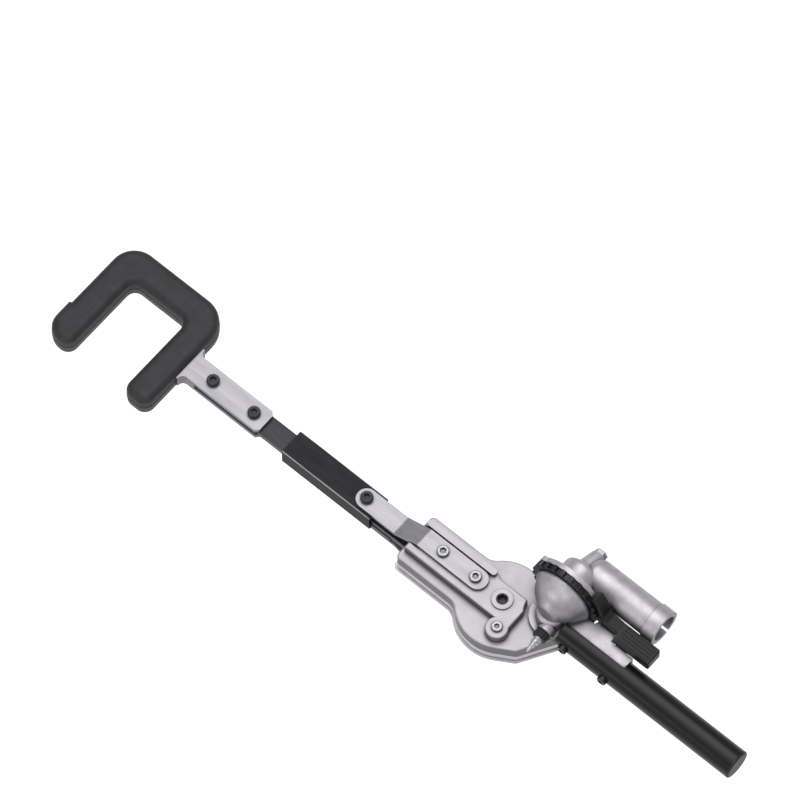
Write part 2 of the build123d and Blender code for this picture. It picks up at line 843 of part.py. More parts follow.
with BuildPart() as crankcase_upper:
    extrude(case_outline(level(split_height), 0.0).sketch, amount=terrace_height - split_height)
    rims = crankcase_upper.faces().sort_by(Axis.Z)[-1].edges()
    fillet(rims, radius=1.5)
    extrude(plateau(level(terrace_height - 1.0)).sketch, amount=case_half_height - terrace_height + 1.0)
    tops = crankcase_upper.faces().sort_by(Axis.Z)[-1].edges()
    fillet(tops, radius=1.2)
    with BuildSketch(level(case_half_height - 1.0)):
        Circle(crank_boss_radius)
    extrude(amount=1.0 + crank_boss_rise)
    with BuildSketch(level(terrace_height)):
        with Locations((neck_x + 4.0, plate_width / 2 + 1.0)):
            SlotOverall(-neck_x - plate_inner_reach - 4.0, rib_width, align=(Align.MIN, Align.MIN))
    extrude(amount=case_half_height + rib_rise - terrace_height)
    extrude(case_cavity(level(split_height)).sketch, amount=cavity_roof - split_height, mode=Mode.SUBTRACT)
    pocket_top = case_half_height - roof_thickness
    extrude(
        roof_pocket(level(cavity_roof), neck_inner_x + roof_thickness, -plate_inner_reach).sketch,
        amount=pocket_top - cavity_roof,
        mode=Mode.SUBTRACT,
    )
    with BuildSketch(level(cavity_roof)):
        Circle(bearing_outer + seat_fit)
    extrude(amount=0.5 + bearing_width, mode=Mode.SUBTRACT)
    with BuildSketch(level(cavity_roof)):
        Circle(plug_radius + seat_fit)
    extrude(amount=case_half_height, mode=Mode.SUBTRACT)
    with BuildSketch(level(cavity_roof)):
        with Locations((pinion_x, pinion_y)):
            Circle(spigot_radius + seat_fit)
    extrude(amount=roof_thickness, mode=Mode.SUBTRACT)
    with BuildSketch(level(cavity_roof)):
        with Locations((pinion_x, pinion_y)):
            Circle(spigot_radius + clip_rise + pass_gap)
    extrude(amount=clip_recess, mode=Mode.SUBTRACT)
    with BuildSketch(level(case_half_height - plate_screw_depth)):
        with Locations(*plate_screws_at):
            Circle(plate_screw_radius + seat_fit)
    extrude(amount=plate_screw_depth, mode=Mode.SUBTRACT)
    with BuildSketch(level(split_height)):
        with Locations(*case_screws_at):
            Circle(case_screw_radius + seat_fit)
    extrude(amount=case_screw_depth, mode=Mode.SUBTRACT)
    with BuildSketch(level(cavity_roof)):
        with Locations(dowel_at):
            Circle(dowel_radius + seat_fit)
    extrude(amount=roof_thickness, mode=Mode.SUBTRACT)
    with BuildSketch(fold_plane(0)):
        Circle(swing_radius)
    extrude(amount=-rim_face, mode=Mode.SUBTRACT)
    with BuildSketch(level(case_half_height - 7.0)):
        with Locations(lobe_centre):
            Circle(2.5 + seat_fit)
    extrude(amount=7.0, mode=Mode.SUBTRACT)
    add(plate_ramp.part, mode=Mode.SUBTRACT)
    add(bell_room.part, mode=Mode.SUBTRACT)
    with BuildSketch(crosswise(tube_front - pass_gap)):
        with Locations((tube_y, tube_z)):
            Circle(tube_radius + pass_gap)
    extrude(amount=pinion_bulge, mode=Mode.SUBTRACT)
    with BuildSketch(crosswise(neck_x)):
        Rectangle(*bar_slot)
    extrude(amount=front_wall + 1.0, mode=Mode.SUBTRACT)
    with BuildSketch(crosswise(neck_x)):
        Rectangle(*seal_outer)
    extrude(amount=seal_depth, mode=Mode.SUBTRACT)
write(crankcase_upper, "crankcase_upper")

lower_top = split_height - gasket_thickness
with BuildPart() as crankcase_lower:
    extrude(case_outline(level(lower_top - lower_lip_height), lower_lip).sketch, amount=lower_lip_height)
    extrude(
        case_outline(level(-terrace_height - lower_step), -lower_draft).sketch,
        amount=terrace_height + lower_step + lower_top - lower_lip_height,
    )
    fillet(crankcase_lower.faces().sort_by(Axis.Z)[0].edges(), radius=1.5)
    with BuildSketch(level(-case_half_height)) as underside:
        with Locations((neck_x + 3.0, 0)):
            Rectangle(-neck_x, 2 * plateau_half_width, align=(Align.MIN, Align.CENTER))
        Circle(underside_radius)
        with Locations((pinion_x, pinion_y)):
            Circle(bearing_outer + 4.0)
    extrude(amount=case_half_height - terrace_height)
    fillet(crankcase_lower.faces().sort_by(Axis.Z)[0].edges(), radius=1.2)
    with BuildSketch(level(floor_level)):
        Circle(lower_inside)
        with Locations((pinion_x, pinion_y)):
            Circle(pinion_tip_radius + gear_clearance)
    extrude(amount=lower_top - floor_level, mode=Mode.SUBTRACT)
    with BuildSketch(level(neck_floor)):
        with Locations((neck_inner_x, 0)):
            Rectangle(-neck_inner_x, 2 * neck_inside - neck_wall, align=(Align.MIN, Align.CENTER))
    extrude(amount=lower_top - neck_floor, mode=Mode.SUBTRACT)
    extrude(
        roof_pocket(level(neck_floor), neck_inner_x + roof_thickness, -lower_inside).sketch,
        amount=-case_half_height + roof_thickness - neck_floor,
        mode=Mode.SUBTRACT,
    )
    with BuildSketch(level(floor_level - bearing_width)):
        Circle(bearing_outer + seat_fit)
        with Locations((pinion_x, pinion_y)):
            Circle(bearing_outer + seat_fit)
    extrude(amount=bearing_width, mode=Mode.SUBTRACT)
    with BuildSketch(level(-case_half_height)):
        with Locations(*plate_screws_at):
            Circle(plate_screw_radius + seat_fit)
    extrude(amount=plate_screw_depth, mode=Mode.SUBTRACT)
    with BuildSketch(level(-case_half_height)):
        with Locations(*case_screws_at):
            Circle(case_screw_radius + screw_gap)
    extrude(amount=case_half_height, mode=Mode.SUBTRACT)
    mirror(plate_ramp.part, about=level(0), mode=Mode.SUBTRACT)
    head_seat = lower_top - lower_lip_height
    with BuildSketch(level(-case_half_height)):
        with Locations(*case_screws_at):
            Circle(case_screw_head + pass_gap)
    extrude(amount=case_half_height + head_seat, mode=Mode.SUBTRACT)
write(crankcase_lower, "crankcase_lower")

with BuildPart() as case_gasket:
    extrude(case_outline(level(lower_top), 0.0).sketch, amount=gasket_thickness)
    extrude(case_cavity(level(lower_top)).sketch, amount=gasket_thickness, mode=Mode.SUBTRACT)
    with BuildSketch(level(lower_top)):
        with Locations(*case_screws_at):
            Circle(case_screw_radius + screw_gap)
    extrude(amount=gasket_thickness, mode=Mode.SUBTRACT)
write(case_gasket, "case_gasket")

under_case = Plane((crank_x, bar_y, bar_z + head_seat), x_dir=(1, 0, 0), z_dir=(0, 0, -1))
write(
    cap_screws(
        under_case,
        [(x, -y) for x, y in case_screws_at],
        case_screw_radius,
        split_height - head_seat + case_screw_depth - 0.5,
        case_screw_head,
        3.5,
        3.0,
    ),
    "case_screws",
)

with BuildPart() as bar_seal:
    with BuildSketch(crosswise(neck_x)):
        Rectangle(*seal_outer)
        Rectangle(*bar_slot, mode=Mode.SUBTRACT)
    extrude(amount=seal_depth)
write(bar_seal, "bar_seal")

plug_height = case_half_height + crank_boss_rise - plug_floor - 0.3
with BuildPart() as crank_plug:
    with BuildSketch(level(plug_floor)):
        Circle(plug_radius)
    extrude(amount=plug_height)
    with BuildSketch(level(plug_floor + plug_height)):
        RegularPolygon(plug_key / 2, 6, major_radius=False)
    extrude(amount=-plug_height * 0.7, mode=Mode.SUBTRACT)
write(crank_plug, "crank_plug")

write(cap_screws(level(case_half_height), [lobe_centre], 2.5, 6.5, 4.6, 2.5, 4.0), "filler_screw")

# Crank train
eccentric_x = -crank_throw
with BuildPart() as crankshaft:
    with BuildSketch(level(floor_level - bearing_width + 0.2)):
        Circle(shaft_radius - running_fit)
    extrude(amount=upper_bearing_z + bearing_width - floor_level + bearing_width - 0.4)
    with BuildSketch(level(gear_bottom)):
        Circle(crank_seat_radius)
    extrude(amount=rod_bottom - gear_bottom)
    with BuildSketch(level(rod_bottom)):
        with Locations((eccentric_x, 0)):
            Circle(eccentric_radius)
    extrude(amount=rod_thickness)
write(crankshaft, "crankshaft")

lightening_circle = (crank_seat_radius + gear_tip_radius) / 2
with BuildPart() as crank_gear:
    with BuildSketch(level(gear_bottom)):
        with BuildLine():
            Polyline(
                *tooth_outline(crank_teeth, spur_flank(crank_teeth), pinion_bearing_angle),
                close=True,
            )
        make_face()
        Circle(crank_seat_radius + seat_fit, mode=Mode.SUBTRACT)
        with PolarLocations(lightening_circle, 6):
            Circle(5.0, mode=Mode.SUBTRACT)
    extrude(amount=spur_face)
write(crank_gear, "crank_gear")

with BuildPart() as connecting_rod:
    with BuildSketch(level(rod_bottom)):
        with Locations((wrist_x, 0)):
            Circle(eye_radius)
            Rectangle(rod_length, rod_shank_width, align=(Align.MIN, Align.CENTER))
        with Locations((eccentric_x, 0)):
            Circle(big_end_radius)
            Circle(big_end_bore, mode=Mode.SUBTRACT)
        with Locations((wrist_x, 0)):
            Circle(wrist_radius + seat_fit, mode=Mode.SUBTRACT)
    extrude(amount=rod_thickness)
write(connecting_rod, "connecting_rod")

# Wrist pin: stops just over the hole in the bar, because the tree of joints is opened at this pivot
pin_bottom = rod_bottom - pass_gap / 2
with BuildPart() as wrist_pin:
    with BuildSketch(level(pin_bottom)):
        with Locations((wrist_x, 0)):
            Circle(wrist_radius)
    extrude(amount=rod_bottom + rod_thickness - pin_bottom)
write(wrist_pin, "wrist_pin")

write(
    ball_bearing(level(upper_bearing_z), shaft_radius, bearing_outer, bearing_width),
    "crank_bearing_upper",
)
write(
    ball_bearing(level(floor_level - bearing_width), shaft_radius, bearing_outer, bearing_width),
    "crank_bearing_lower",
)

pinion_gap = 180.0 + pinion_bearing_angle
half_pitch = 180.0 / pinion_teeth
pinion_shaft_top = bar_drop_z - mitre_radius + mitre_face
with BuildPart() as pinion_shaft:
    with BuildSketch(level(floor_level - bearing_width + 0.2)):
        with Locations((pinion_x, pinion_y)):
            Circle(shaft_radius - running_fit)
    extrude(amount=pinion_shaft_top - floor_level + bearing_width - 0.2)
    with BuildSketch(
        Plane((crank_x + pinion_x, bar_y + pinion_y, bar_z + gear_bottom - 0.5))
    ):
        with BuildLine():
            Polyline(
                *tooth_outline(pinion_teeth, spur_flank(pinion_teeth), pinion_gap + half_pitch),
                close=True,
            )
        make_face()
    extrude(amount=spur_face + 1.0)
write(pinion_shaft, "pinion_shaft")

elbow_apex = (fold_x, elbow_y, 0)
pole_apex = (fold_x, 0, 0)
mitre_half_pitch = 180.0 / mitre_teeth
spindle = shaft_radius - running_fit
write(mitre_gear(elbow_apex, (0, 0, -1), (0, 1, 0), 0.0, spindle), "pinion_bevel")
write(
    mitre_gear(elbow_apex, (0, 1, 0), (0, 0, -1), mitre_half_pitch, spindle),
    "cross_bevel_inner",
)
write(mitre_gear(pole_apex, (0, -1, 0), (1, 0, 0), 0.0, spindle), "cross_bevel_outer")
write(mitre_gear(pole_apex, (1, 0, 0), (0, -1, 0), mitre_half_pitch, spindle), "input_bevel")

pinion_bearing_z = -mitre_radius - mitre_hub - pass_gap - bearing_width
pinion_seat = Plane((fold_x, elbow_y, pinion_bearing_z))
write(
    ball_bearing(pinion_seat, shaft_radius, bearing_outer, bearing_width),
    "pinion_bearing_upper",
)
lower_seat = Plane((fold_x, elbow_y, bar_z + floor_level - bearing_width))
write(
    ball_bearing(lower_seat, shaft_radius, bearing_outer, bearing_width),
    "pinion_bearing_lower",
)

# Elbow: a bell on the fold axis, a collar on the case and the arm that carries the handle
collar_foot = bar_z + terrace_height
clip_top = bar_z + cavity_roof + 2 * clip_thickness
spigot_foot = bar_z + cavity_roof + 0.1
plug_boss = upright(grease_plug_y)
plug_at = (grease_plug_x, grease_plug_z)
with BuildPart() as elbow_casting:
    with BuildSketch(Plane((fold_x, elbow_y, collar_foot))):
        Circle(collar_radius)
    extrude(amount=collar_height)
    fillet(elbow_casting.edges().group_by(Axis.Z)[-1], radius=collar_top_blend)
    with BuildSketch(Plane.XY):
        with BuildLine():
            inner_end = (fold_x, elbow_y - bell_nose[1])
            nose = (fold_x + bell_nose[0], elbow_y - bell_nose[1])
            shoulder = (fold_x + bell_shoulder[0], elbow_y - bell_shoulder[1])
            waist = (fold_x + bell_waist, elbow_y)
            rim_back = (fold_x + rim_radius, rim_face - rim_band)
            Line(inner_end, nose)
            Spline(nose, shoulder, waist, rim_back, tangents=((1, 0), (0.9, 1)))
            Polyline(rim_back, (fold_x + rim_radius, rim_face), (fold_x, rim_face), inner_end)
        make_face()
    revolve(axis=Axis((fold_x, 0, 0), (0, 1, 0)))
    with BuildSketch(Plane((fold_x, elbow_y, collar_foot))):
        Circle(collar_base_radius)
        with Locations((crank_x + tube_front - pass_gap - fold_x, 0)):
            Rectangle(
                collar_base_radius,
                3 * collar_base_radius,
                align=(Align.MIN, Align.CENTER),
                mode=Mode.SUBTRACT,
            )
    extrude(amount=collar_base_height)
    with BuildSketch(level(arm_bottom)):
        with BuildLine():
            Polyline(
                (pinion_x, arm_inner_y),
                (arm_length, arm_inner_y),
                (arm_length, arm_tip_y),
                (arm_wide_length, arm_tip_y),
                (arm_wide_length, arm_outer_y),
                (pinion_x, arm_outer_y),
                close=True,
            )
        make_face()
    extrude(amount=arm_top - arm_bottom)
    with BuildSketch(level(arm_bottom)):
        with Locations((spring_x, arm_tip_y - 1.0)):
            Rectangle(2 * spring_mean_radius + 5.0, grip_width + 2.0, align=(Align.CENTER, Align.MIN))
    extrude(amount=shelf_thickness)
    with BuildSketch(plug_boss):
        with Locations(plug_at):
            Circle(grease_plug_radius + 1.2)
    extrude(amount=grease_plug_y - pinion_y + bearing_outer + 1.0)
    with BuildSketch(plug_boss):
        with Locations(plug_at):
            Circle(grease_plug_radius + 1.2)
    extrude(amount=nipple_length, mode=Mode.SUBTRACT)
    with BuildSketch(level(0)):
        with Locations((pinion_x, pinion_y)):
            Rectangle(3 * rim_radius, 3 * rim_radius)
    extrude(amount=terrace_height, mode=Mode.SUBTRACT)
    with BuildSketch(Plane((fold_x, elbow_y, spigot_foot))):
        Circle(spigot_radius)
    extrude(amount=collar_foot - spigot_foot)
    with BuildSketch(Plane((fold_x, elbow_y, clip_top - clip_thickness))):
        Circle(spigot_radius)
        Circle(spigot_radius - clip_rise / 2, mode=Mode.SUBTRACT)
    extrude(amount=clip_thickness, mode=Mode.SUBTRACT)
    with BuildSketch(fold_plane(rim_face)):
        Circle(pivot_radius + seat_fit)
    extrude(amount=rim_face - skirt_y + 0.1, mode=Mode.SUBTRACT)
    with BuildSketch(fold_plane(skirt_y)):
        Circle(gear_room)
    extrude(amount=skirt_y - elbow_y - mitre_front, mode=Mode.SUBTRACT)
    with Locations((fold_x, elbow_y, -(mitre_back + mitre_front) / 2)):
        Cone(gear_room, front_room, mitre_back - mitre_front, mode=Mode.SUBTRACT)
    with BuildSketch(Plane((fold_x, elbow_y, spigot_foot))):
        Circle(bearing_outer + seat_fit)
    extrude(amount=pinion_bearing_z + bearing_width - spigot_foot, mode=Mode.SUBTRACT)
    with BuildSketch(Plane((fold_x, elbow_y, spigot_foot))):
        Circle(bearing_outer - 1.5)
    extrude(amount=-mitre_radius - spigot_foot, mode=Mode.SUBTRACT)
    with BuildSketch(level(cavity_roof)):
        with Locations(dowel_at):
            Circle(dowel_radius + seat_fit)
    extrude(amount=roof_thickness + collar_base_height, mode=Mode.SUBTRACT)
    with BuildSketch(plug_boss):
        with Locations(plug_at):
            Circle(grease_plug_radius - 2.0 + seat_fit)
    extrude(amount=-6.0, mode=Mode.SUBTRACT)
    with BuildSketch(fold_plane(0)):
        Circle(swing_radius)
    extrude(amount=-rim_face, mode=Mode.SUBTRACT)
    with BuildSketch(upright(arm_outer_y)):
        with Locations((latch_x, latch_z)):
            Circle(latch_pin_radius + seat_fit)
    extrude(amount=10.0, mode=Mode.SUBTRACT)
    with BuildSketch(upright(arm_inner_y + 11.0)):
        with Locations(*[(x, handle_screw_z) for x in handle_screw_xs]):
            Circle(handle_screw_radius + seat_fit)
    extrude(amount=11.0, mode=Mode.SUBTRACT)
write(elbow_casting, "elbow_casting")

elbow_clip_seat = Plane((fold_x, elbow_y, clip_top - clip_thickness))
write(
    snap_ring(elbow_clip_seat, spigot_radius - clip_rise / 2 + seat_fit, spigot_radius + clip_rise, 0.3),
    "elbow_circlip",
)

with BuildPart() as elbow_dowel:
    with BuildSketch(level(cavity_roof + 0.2)):
        with Locations(dowel_at):
            Circle(dowel_radius)
    extrude(amount=roof_thickness + collar_base_height - 0.5)
write(elbow_dowel, "elbow_dowel")

nipple_seat = upright(grease_plug_y - grease_plug_length)
with BuildPart() as grease_plug:
    with BuildSketch(plug_boss):
        with Locations(plug_at):
            Circle(grease_plug_radius)
            with PolarLocations(grease_plug_radius - 0.2, 16):
                Circle(0.7)
    extrude(amount=grease_plug_length)
    with BuildSketch(plug_boss):
        with Locations(plug_at):
            Circle(grease_plug_radius - 2.0)
    extrude(amount=-5.5)
    with BuildSketch(nipple_seat):
        with Locations(plug_at):
            Circle(nipple_radius - 0.8 + seat_fit)
    extrude(amount=-5.0, mode=Mode.SUBTRACT)
write(grease_plug, "grease_plug")

# Grease nipple: a barbed stem screwed into the plug
nipple_barbs = 5
barb_pitch = (nipple_length - 2.0) / nipple_barbs
with BuildPart() as grease_nipple:
    with BuildSketch(nipple_seat):
        with Locations(plug_at):
            Circle(nipple_radius - 0.8)
    extrude(amount=-4.5)
    with BuildSketch(nipple_seat):
        with Locations(plug_at):
            Circle(nipple_radius - 0.8)
    extrude(amount=nipple_length)
    for barb in range(nipple_barbs):
        with BuildSketch(nipple_seat.offset(barb * barb_pitch)):
            with Locations(plug_at):
                Circle(nipple_radius)
        extrude(amount=barb_pitch * 0.6)
write(grease_nipple, "grease_nipple")

# Pivot sleeve: fixed in the elbow, turns in the flange of the pole socket and carries the cross shaft
clip_y = flange_back + 0.1
with BuildPart() as pivot_sleeve:
    with BuildSketch(fold_plane(sleeve_outer_end)):
        Circle(pivot_radius)
    extrude(amount=sleeve_outer_end - skirt_y)
    with BuildSketch(fold_plane(sleeve_outer_end)):
        Circle(bearing_outer - 1.5)
    extrude(amount=sleeve_outer_end - skirt_y, mode=Mode.SUBTRACT)
    with BuildSketch(fold_plane(sleeve_outer_end)):
        Circle(bearing_outer + seat_fit)
    extrude(amount=bearing_width, mode=Mode.SUBTRACT)
    with BuildSketch(fold_plane(inner_bearing_y + bearing_width)):
        Circle(bearing_outer + seat_fit)
    extrude(amount=bearing_width, mode=Mode.SUBTRACT)
    with BuildSketch(fold_plane(inner_bearing_y)):
        Circle(pivot_radius - 1.4)
    extrude(amount=inner_bearing_y - skirt_y, mode=Mode.SUBTRACT)
    with BuildSketch(fold_plane(clip_y + clip_thickness)):
        Circle(pivot_radius)
        Circle(pivot_radius - clip_rise / 2, mode=Mode.SUBTRACT)
    extrude(amount=clip_thickness, mode=Mode.SUBTRACT)
write(pivot_sleeve, "pivot_sleeve")

write(
    snap_ring(
        fold_plane(clip_y + clip_thickness),
        pivot_radius - clip_rise / 2 + seat_fit,
        pivot_radius + clip_rise,
        0.3,
    ),
    "pivot_circlip",
)
write(
    ball_bearing(
        fold_plane(inner_bearing_y + bearing_width), shaft_radius, bearing_outer, bearing_width
    ),
    "cross_bearing_inner",
)
write(
    ball_bearing(fold_plane(sleeve_outer_end), shaft_radius, bearing_outer, bearing_width),
    "cross_bearing_outer",
)

cross_end = mitre_radius - mitre_face
with BuildPart() as cross_shaft:
    with BuildSketch(fold_plane(-cross_end)):
        Circle(spindle)
    extrude(amount=-elbow_y - 2 * cross_end)
write(cross_shaft, "cross_shaft")

# Index ring: one notch for every folding step
notch_floor = ring_radius - notch_depth
floor_half_angle = atan2(notch_floor_width / 2, notch_floor)
mouth_half_angle = asin(notch_mouth_width / 2 / ring_radius)
notch_flank = [
    (hypot(notch_floor, notch_floor_width / 2), pi / notch_count - floor_half_angle),
    (ring_radius, pi / notch_count - mouth_half_angle),
]
ring_screw_circle = (ring_inner + ring_radius - notch_depth) / 2
ring_screw_head = 3.2
ring_screw_seat = ring_face + 2.4


def ring_spots(radius):
    return [
        (radius * cos(radians(angle)), radius * sin(radians(angle))) for angle in (148, 268, 28)
    ]


with BuildPart() as index_ring:
    with BuildSketch(fold_plane(flange_face)):
        with BuildLine():
            Polyline(*tooth_outline(notch_count, notch_flank, 180 / notch_count), close=True)
        make_face()
        Circle(ring_inner, mode=Mode.SUBTRACT)
    extrude(amount=ring_thickness)
    with BuildSketch(fold_plane(flange_face)):
        with Locations(*ring_spots(ring_screw_circle)):
            Circle(2.0 + screw_gap)
    extrude(amount=ring_thickness, mode=Mode.SUBTRACT)
    with BuildSketch(fold_plane(ring_screw_seat)):
        with Locations(*ring_spots(ring_screw_circle)):
            Circle(ring_screw_head + 0.3)
    extrude(amount=ring_screw_seat - ring_face, mode=Mode.SUBTRACT)
write(index_ring, "index_ring")
write(
    cap_screws(
        fold_plane(ring_screw_seat),
        ring_spots(ring_screw_circle),
        2.0,
        6.0,
        ring_screw_head,
        2.2,
        2.5,
    ),
    "ring_screws",
)

# Handle: a tube cut away along the arm it is screwed to
screw_seat_y = tube_y - tube_radius + spot_face_depth
handle_screws_at = [(x, handle_screw_z) for x in handle_screw_xs]
handle_screw_head = 4.2
with BuildPart() as handle_tube:
    with BuildSketch(crosswise(tube_front)):
        with Locations((tube_y, tube_z)):
            Circle(tube_radius)
            Circle(tube_radius - tube_wall, mode=Mode.SUBTRACT)
    extrude(amount=tube_length)
    with BuildSketch(level(arm_bottom - pass_gap)):
        with Locations((tube_front, arm_inner_y - pass_gap)):
            Rectangle(
                arm_length - tube_front + pass_gap,
                2 * tube_radius,
                align=(Align.MIN, Align.MIN),
            )
    extrude(amount=2 * tube_radius, mode=Mode.SUBTRACT)
    with BuildSketch(upright(screw_seat_y)):
        with Locations(*handle_screws_at):
            Circle(handle_screw_head + 0.6)
    extrude(amount=tube_radius, mode=Mode.SUBTRACT)
    with BuildSketch(upright(screw_seat_y)):
        with Locations(*handle_screws_at):
            Circle(handle_screw_radius + screw_gap)
    extrude(amount=-tube_radius / 2, mode=Mode.SUBTRACT)
write(handle_tube, "handle_tube")
write(
    cap_screws(
        upright(screw_seat_y),
        handle_screws_at,
        handle_screw_radius,
        arm_inner_y + 10.5 - screw_seat_y,
        handle_screw_head,
        4.0,
        4.0,
    ),
    "handle_screws",
)

with BuildPart() as handle_end_plug:
    with BuildSketch(crosswise(tube_front + tube_length)):
        with Locations((tube_y, tube_z)):
            Circle(tube_radius)
    extrude(amount=end_plug_cap)
    fillet(handle_end_plug.edges().group_by(Axis.X)[-1], radius=end_plug_cap * 0.7)
    with BuildSketch(crosswise(tube_front + tube_length)):
        with Locations((tube_y, tube_z)):
            Circle(tube_radius - tube_wall - seat_fit)
    extrude(amount=-10.0)
write(handle_end_plug, "handle_end_plug")

# Latch: a bell-crank lever whose nose drops into a notch of the index ring
lever_inner_y = arm_outer_y + pass_gap
lever_outer_y = lever_inner_y + lever_width
fold_height = bar_drop_z
nose_tip = pinion_x + ring_radius - notch_depth + 0.9
nose_rim = pinion_x + ring_radius
rim_half = notch_mouth_width / 2 - nose_flank_gap
flank_slope = (notch_mouth_width - notch_floor_width) / 2 / notch_depth
tip_half = rim_half - flank_slope * (nose_rim - nose_tip)
ring_near_y = bar_offset_y + ring_face
shroud_inner = swing_radius + pass_gap
with BuildPart() as latch_lever:
    with BuildSketch(upright(lever_outer_y)):
        with Locations((latch_x, latch_z)):
            Circle(lever_hub_radius)
        with BuildLine():
            Polyline(
                (latch_x - 0.8, latch_z),
                (latch_x - 0.8, lever_rise - 1.0),
                (latch_x + 1.0, lever_rise),
                (latch_x + 6.0, lever_rise),
                (grip_start, grip_top),
                (grip_start + 1.0, grip_top),
                (grip_start + 1.0, grip_bottom),
                (grip_start - 4.0, grip_bottom),
                (latch_x + lever_hub_radius, latch_z),
                close=True,
            )
        make_face()
        with BuildLine():
            inside = CenterArc((pinion_x, fold_height), shroud_inner, 0, shroud_angle)
            outside = CenterArc((pinion_x, fold_height), shroud_inner + shroud_wall, 10, shroud_angle - 10)
            Line(inside @ 1, outside @ 1)
            Polyline(outside @ 0, (latch_x + 6.0, lever_rise), (latch_x + 6.0, fold_height), inside @ 0)
        make_face()
    extrude(amount=lever_width)
    with BuildSketch(upright(lever_outer_y)):
        with Locations((grip_start, grip_bottom)):
            Rectangle(grip_end - grip_start, grip_top - grip_bottom, align=(Align.MIN, Align.MIN))
    extrude(amount=grip_width)
    grip_edges = latch_lever.edges().filter_by_position(
        Axis.X, crank_x + grip_end - 0.1, crank_x + grip_end + 0.1
    )
    fillet(grip_edges, radius=1.8)
    with BuildSketch(upright(ring_near_y + ring_thickness - pass_gap)):
        with BuildLine():
            Polyline(
                (nose_tip, fold_height - tip_half),
                (nose_rim, fold_height - rim_half),
                (latch_x + 1.0, fold_height - rim_half),
                (latch_x + 1.0, fold_height + rim_half),
                (nose_rim, fold_height + rim_half),
                (nose_tip, fold_height + tip_half),
                close=True,
            )
        make_face()
    extrude(amount=ring_thickness - 2 * pass_gap)
    with BuildSketch(level(grip_top)):
        for rib in range(grip_ribs):
            rib_y = lever_outer_y - grip_width * (rib + 0.5) / grip_ribs
            with Locations(((grip_start + grip_end) / 2, rib_y)):
                SlotOverall(grip_end - grip_start - 6.0, 1.1)
    extrude(amount=0.8)
    with BuildSketch(upright(lever_outer_y)):
        with Locations((latch_x, latch_z)):
            Circle(latch_pin_radius + running_fit)
    extrude(amount=lever_width, mode=Mode.SUBTRACT)
write(latch_lever, "latch_lever")

pin_head_y = lever_outer_y + 0.15
with BuildPart() as latch_pin:
    with BuildSketch(upright(pin_head_y)):
        with Locations((latch_x, latch_z)):
            Circle(latch_pin_radius)
    extrude(amount=pin_head_y - arm_outer_y + 9.5)
    with BuildSketch(upright(pin_head_y)):
        with Locations((latch_x, latch_z)):
            Circle(lever_hub_radius - 0.8)
    extrude(amount=-1.0)
write(latch_pin, "latch_pin")

# Latch spring: one unbroken coil from the shelf to the underside of the grip
coil_start = arm_bottom + shelf_thickness + spring_wire / 2 + 0.05
coil_end = grip_bottom - spring_wire / 2 - 0.05
coil_y = lever_outer_y - grip_width / 2
arcs_per_turn = 4
coil_points = []
for step in range(spring_turns * arcs_per_turn + 1):
    turn = 2 * pi * step / arcs_per_turn
    coil_points.append(
        Vector(
            crank_x + spring_x + spring_mean_radius * cos(turn),
            bar_y + coil_y + spring_mean_radius * sin(turn),
            bar_z + coil_start + (coil_end - coil_start) * step / (spring_turns * arcs_per_turn),
        )
    )
coil_lead = (coil_end - coil_start) / spring_turns
heading = Vector(0, 2 * pi * spring_mean_radius, coil_lead)
with BuildPart() as latch_spring:
    with BuildLine() as coil:
        for near, far in zip(coil_points, coil_points[1:]):
            arc = TangentArc(near, far, tangent=heading)
            heading = arc % 1
    with BuildSketch(Plane(coil_points[0], z_dir=coil.line % 0)):
        Circle(spring_wire / 2)
    sweep(path=coil.line)
write(latch_spring, "latch_spring")
print("latch spring, gap between turns:", round(coil_lead - spring_wire, 2), "mm")

# Pole socket: flange, bevel housing and split tube in one casting
ear_out = Vector(0, cos(radians(ear_angle)), sin(radians(ear_angle)))
ear_across = Vector(0, -sin(radians(ear_angle)), cos(radians(ear_angle)))


def ear_plane(offset):
    # Plane across the pinch bolt, with local axes X and outwards from the pole axis
    return Plane(tuple(ear_across * offset), x_dir=(1, 0, 0), z_dir=tuple(ear_across))


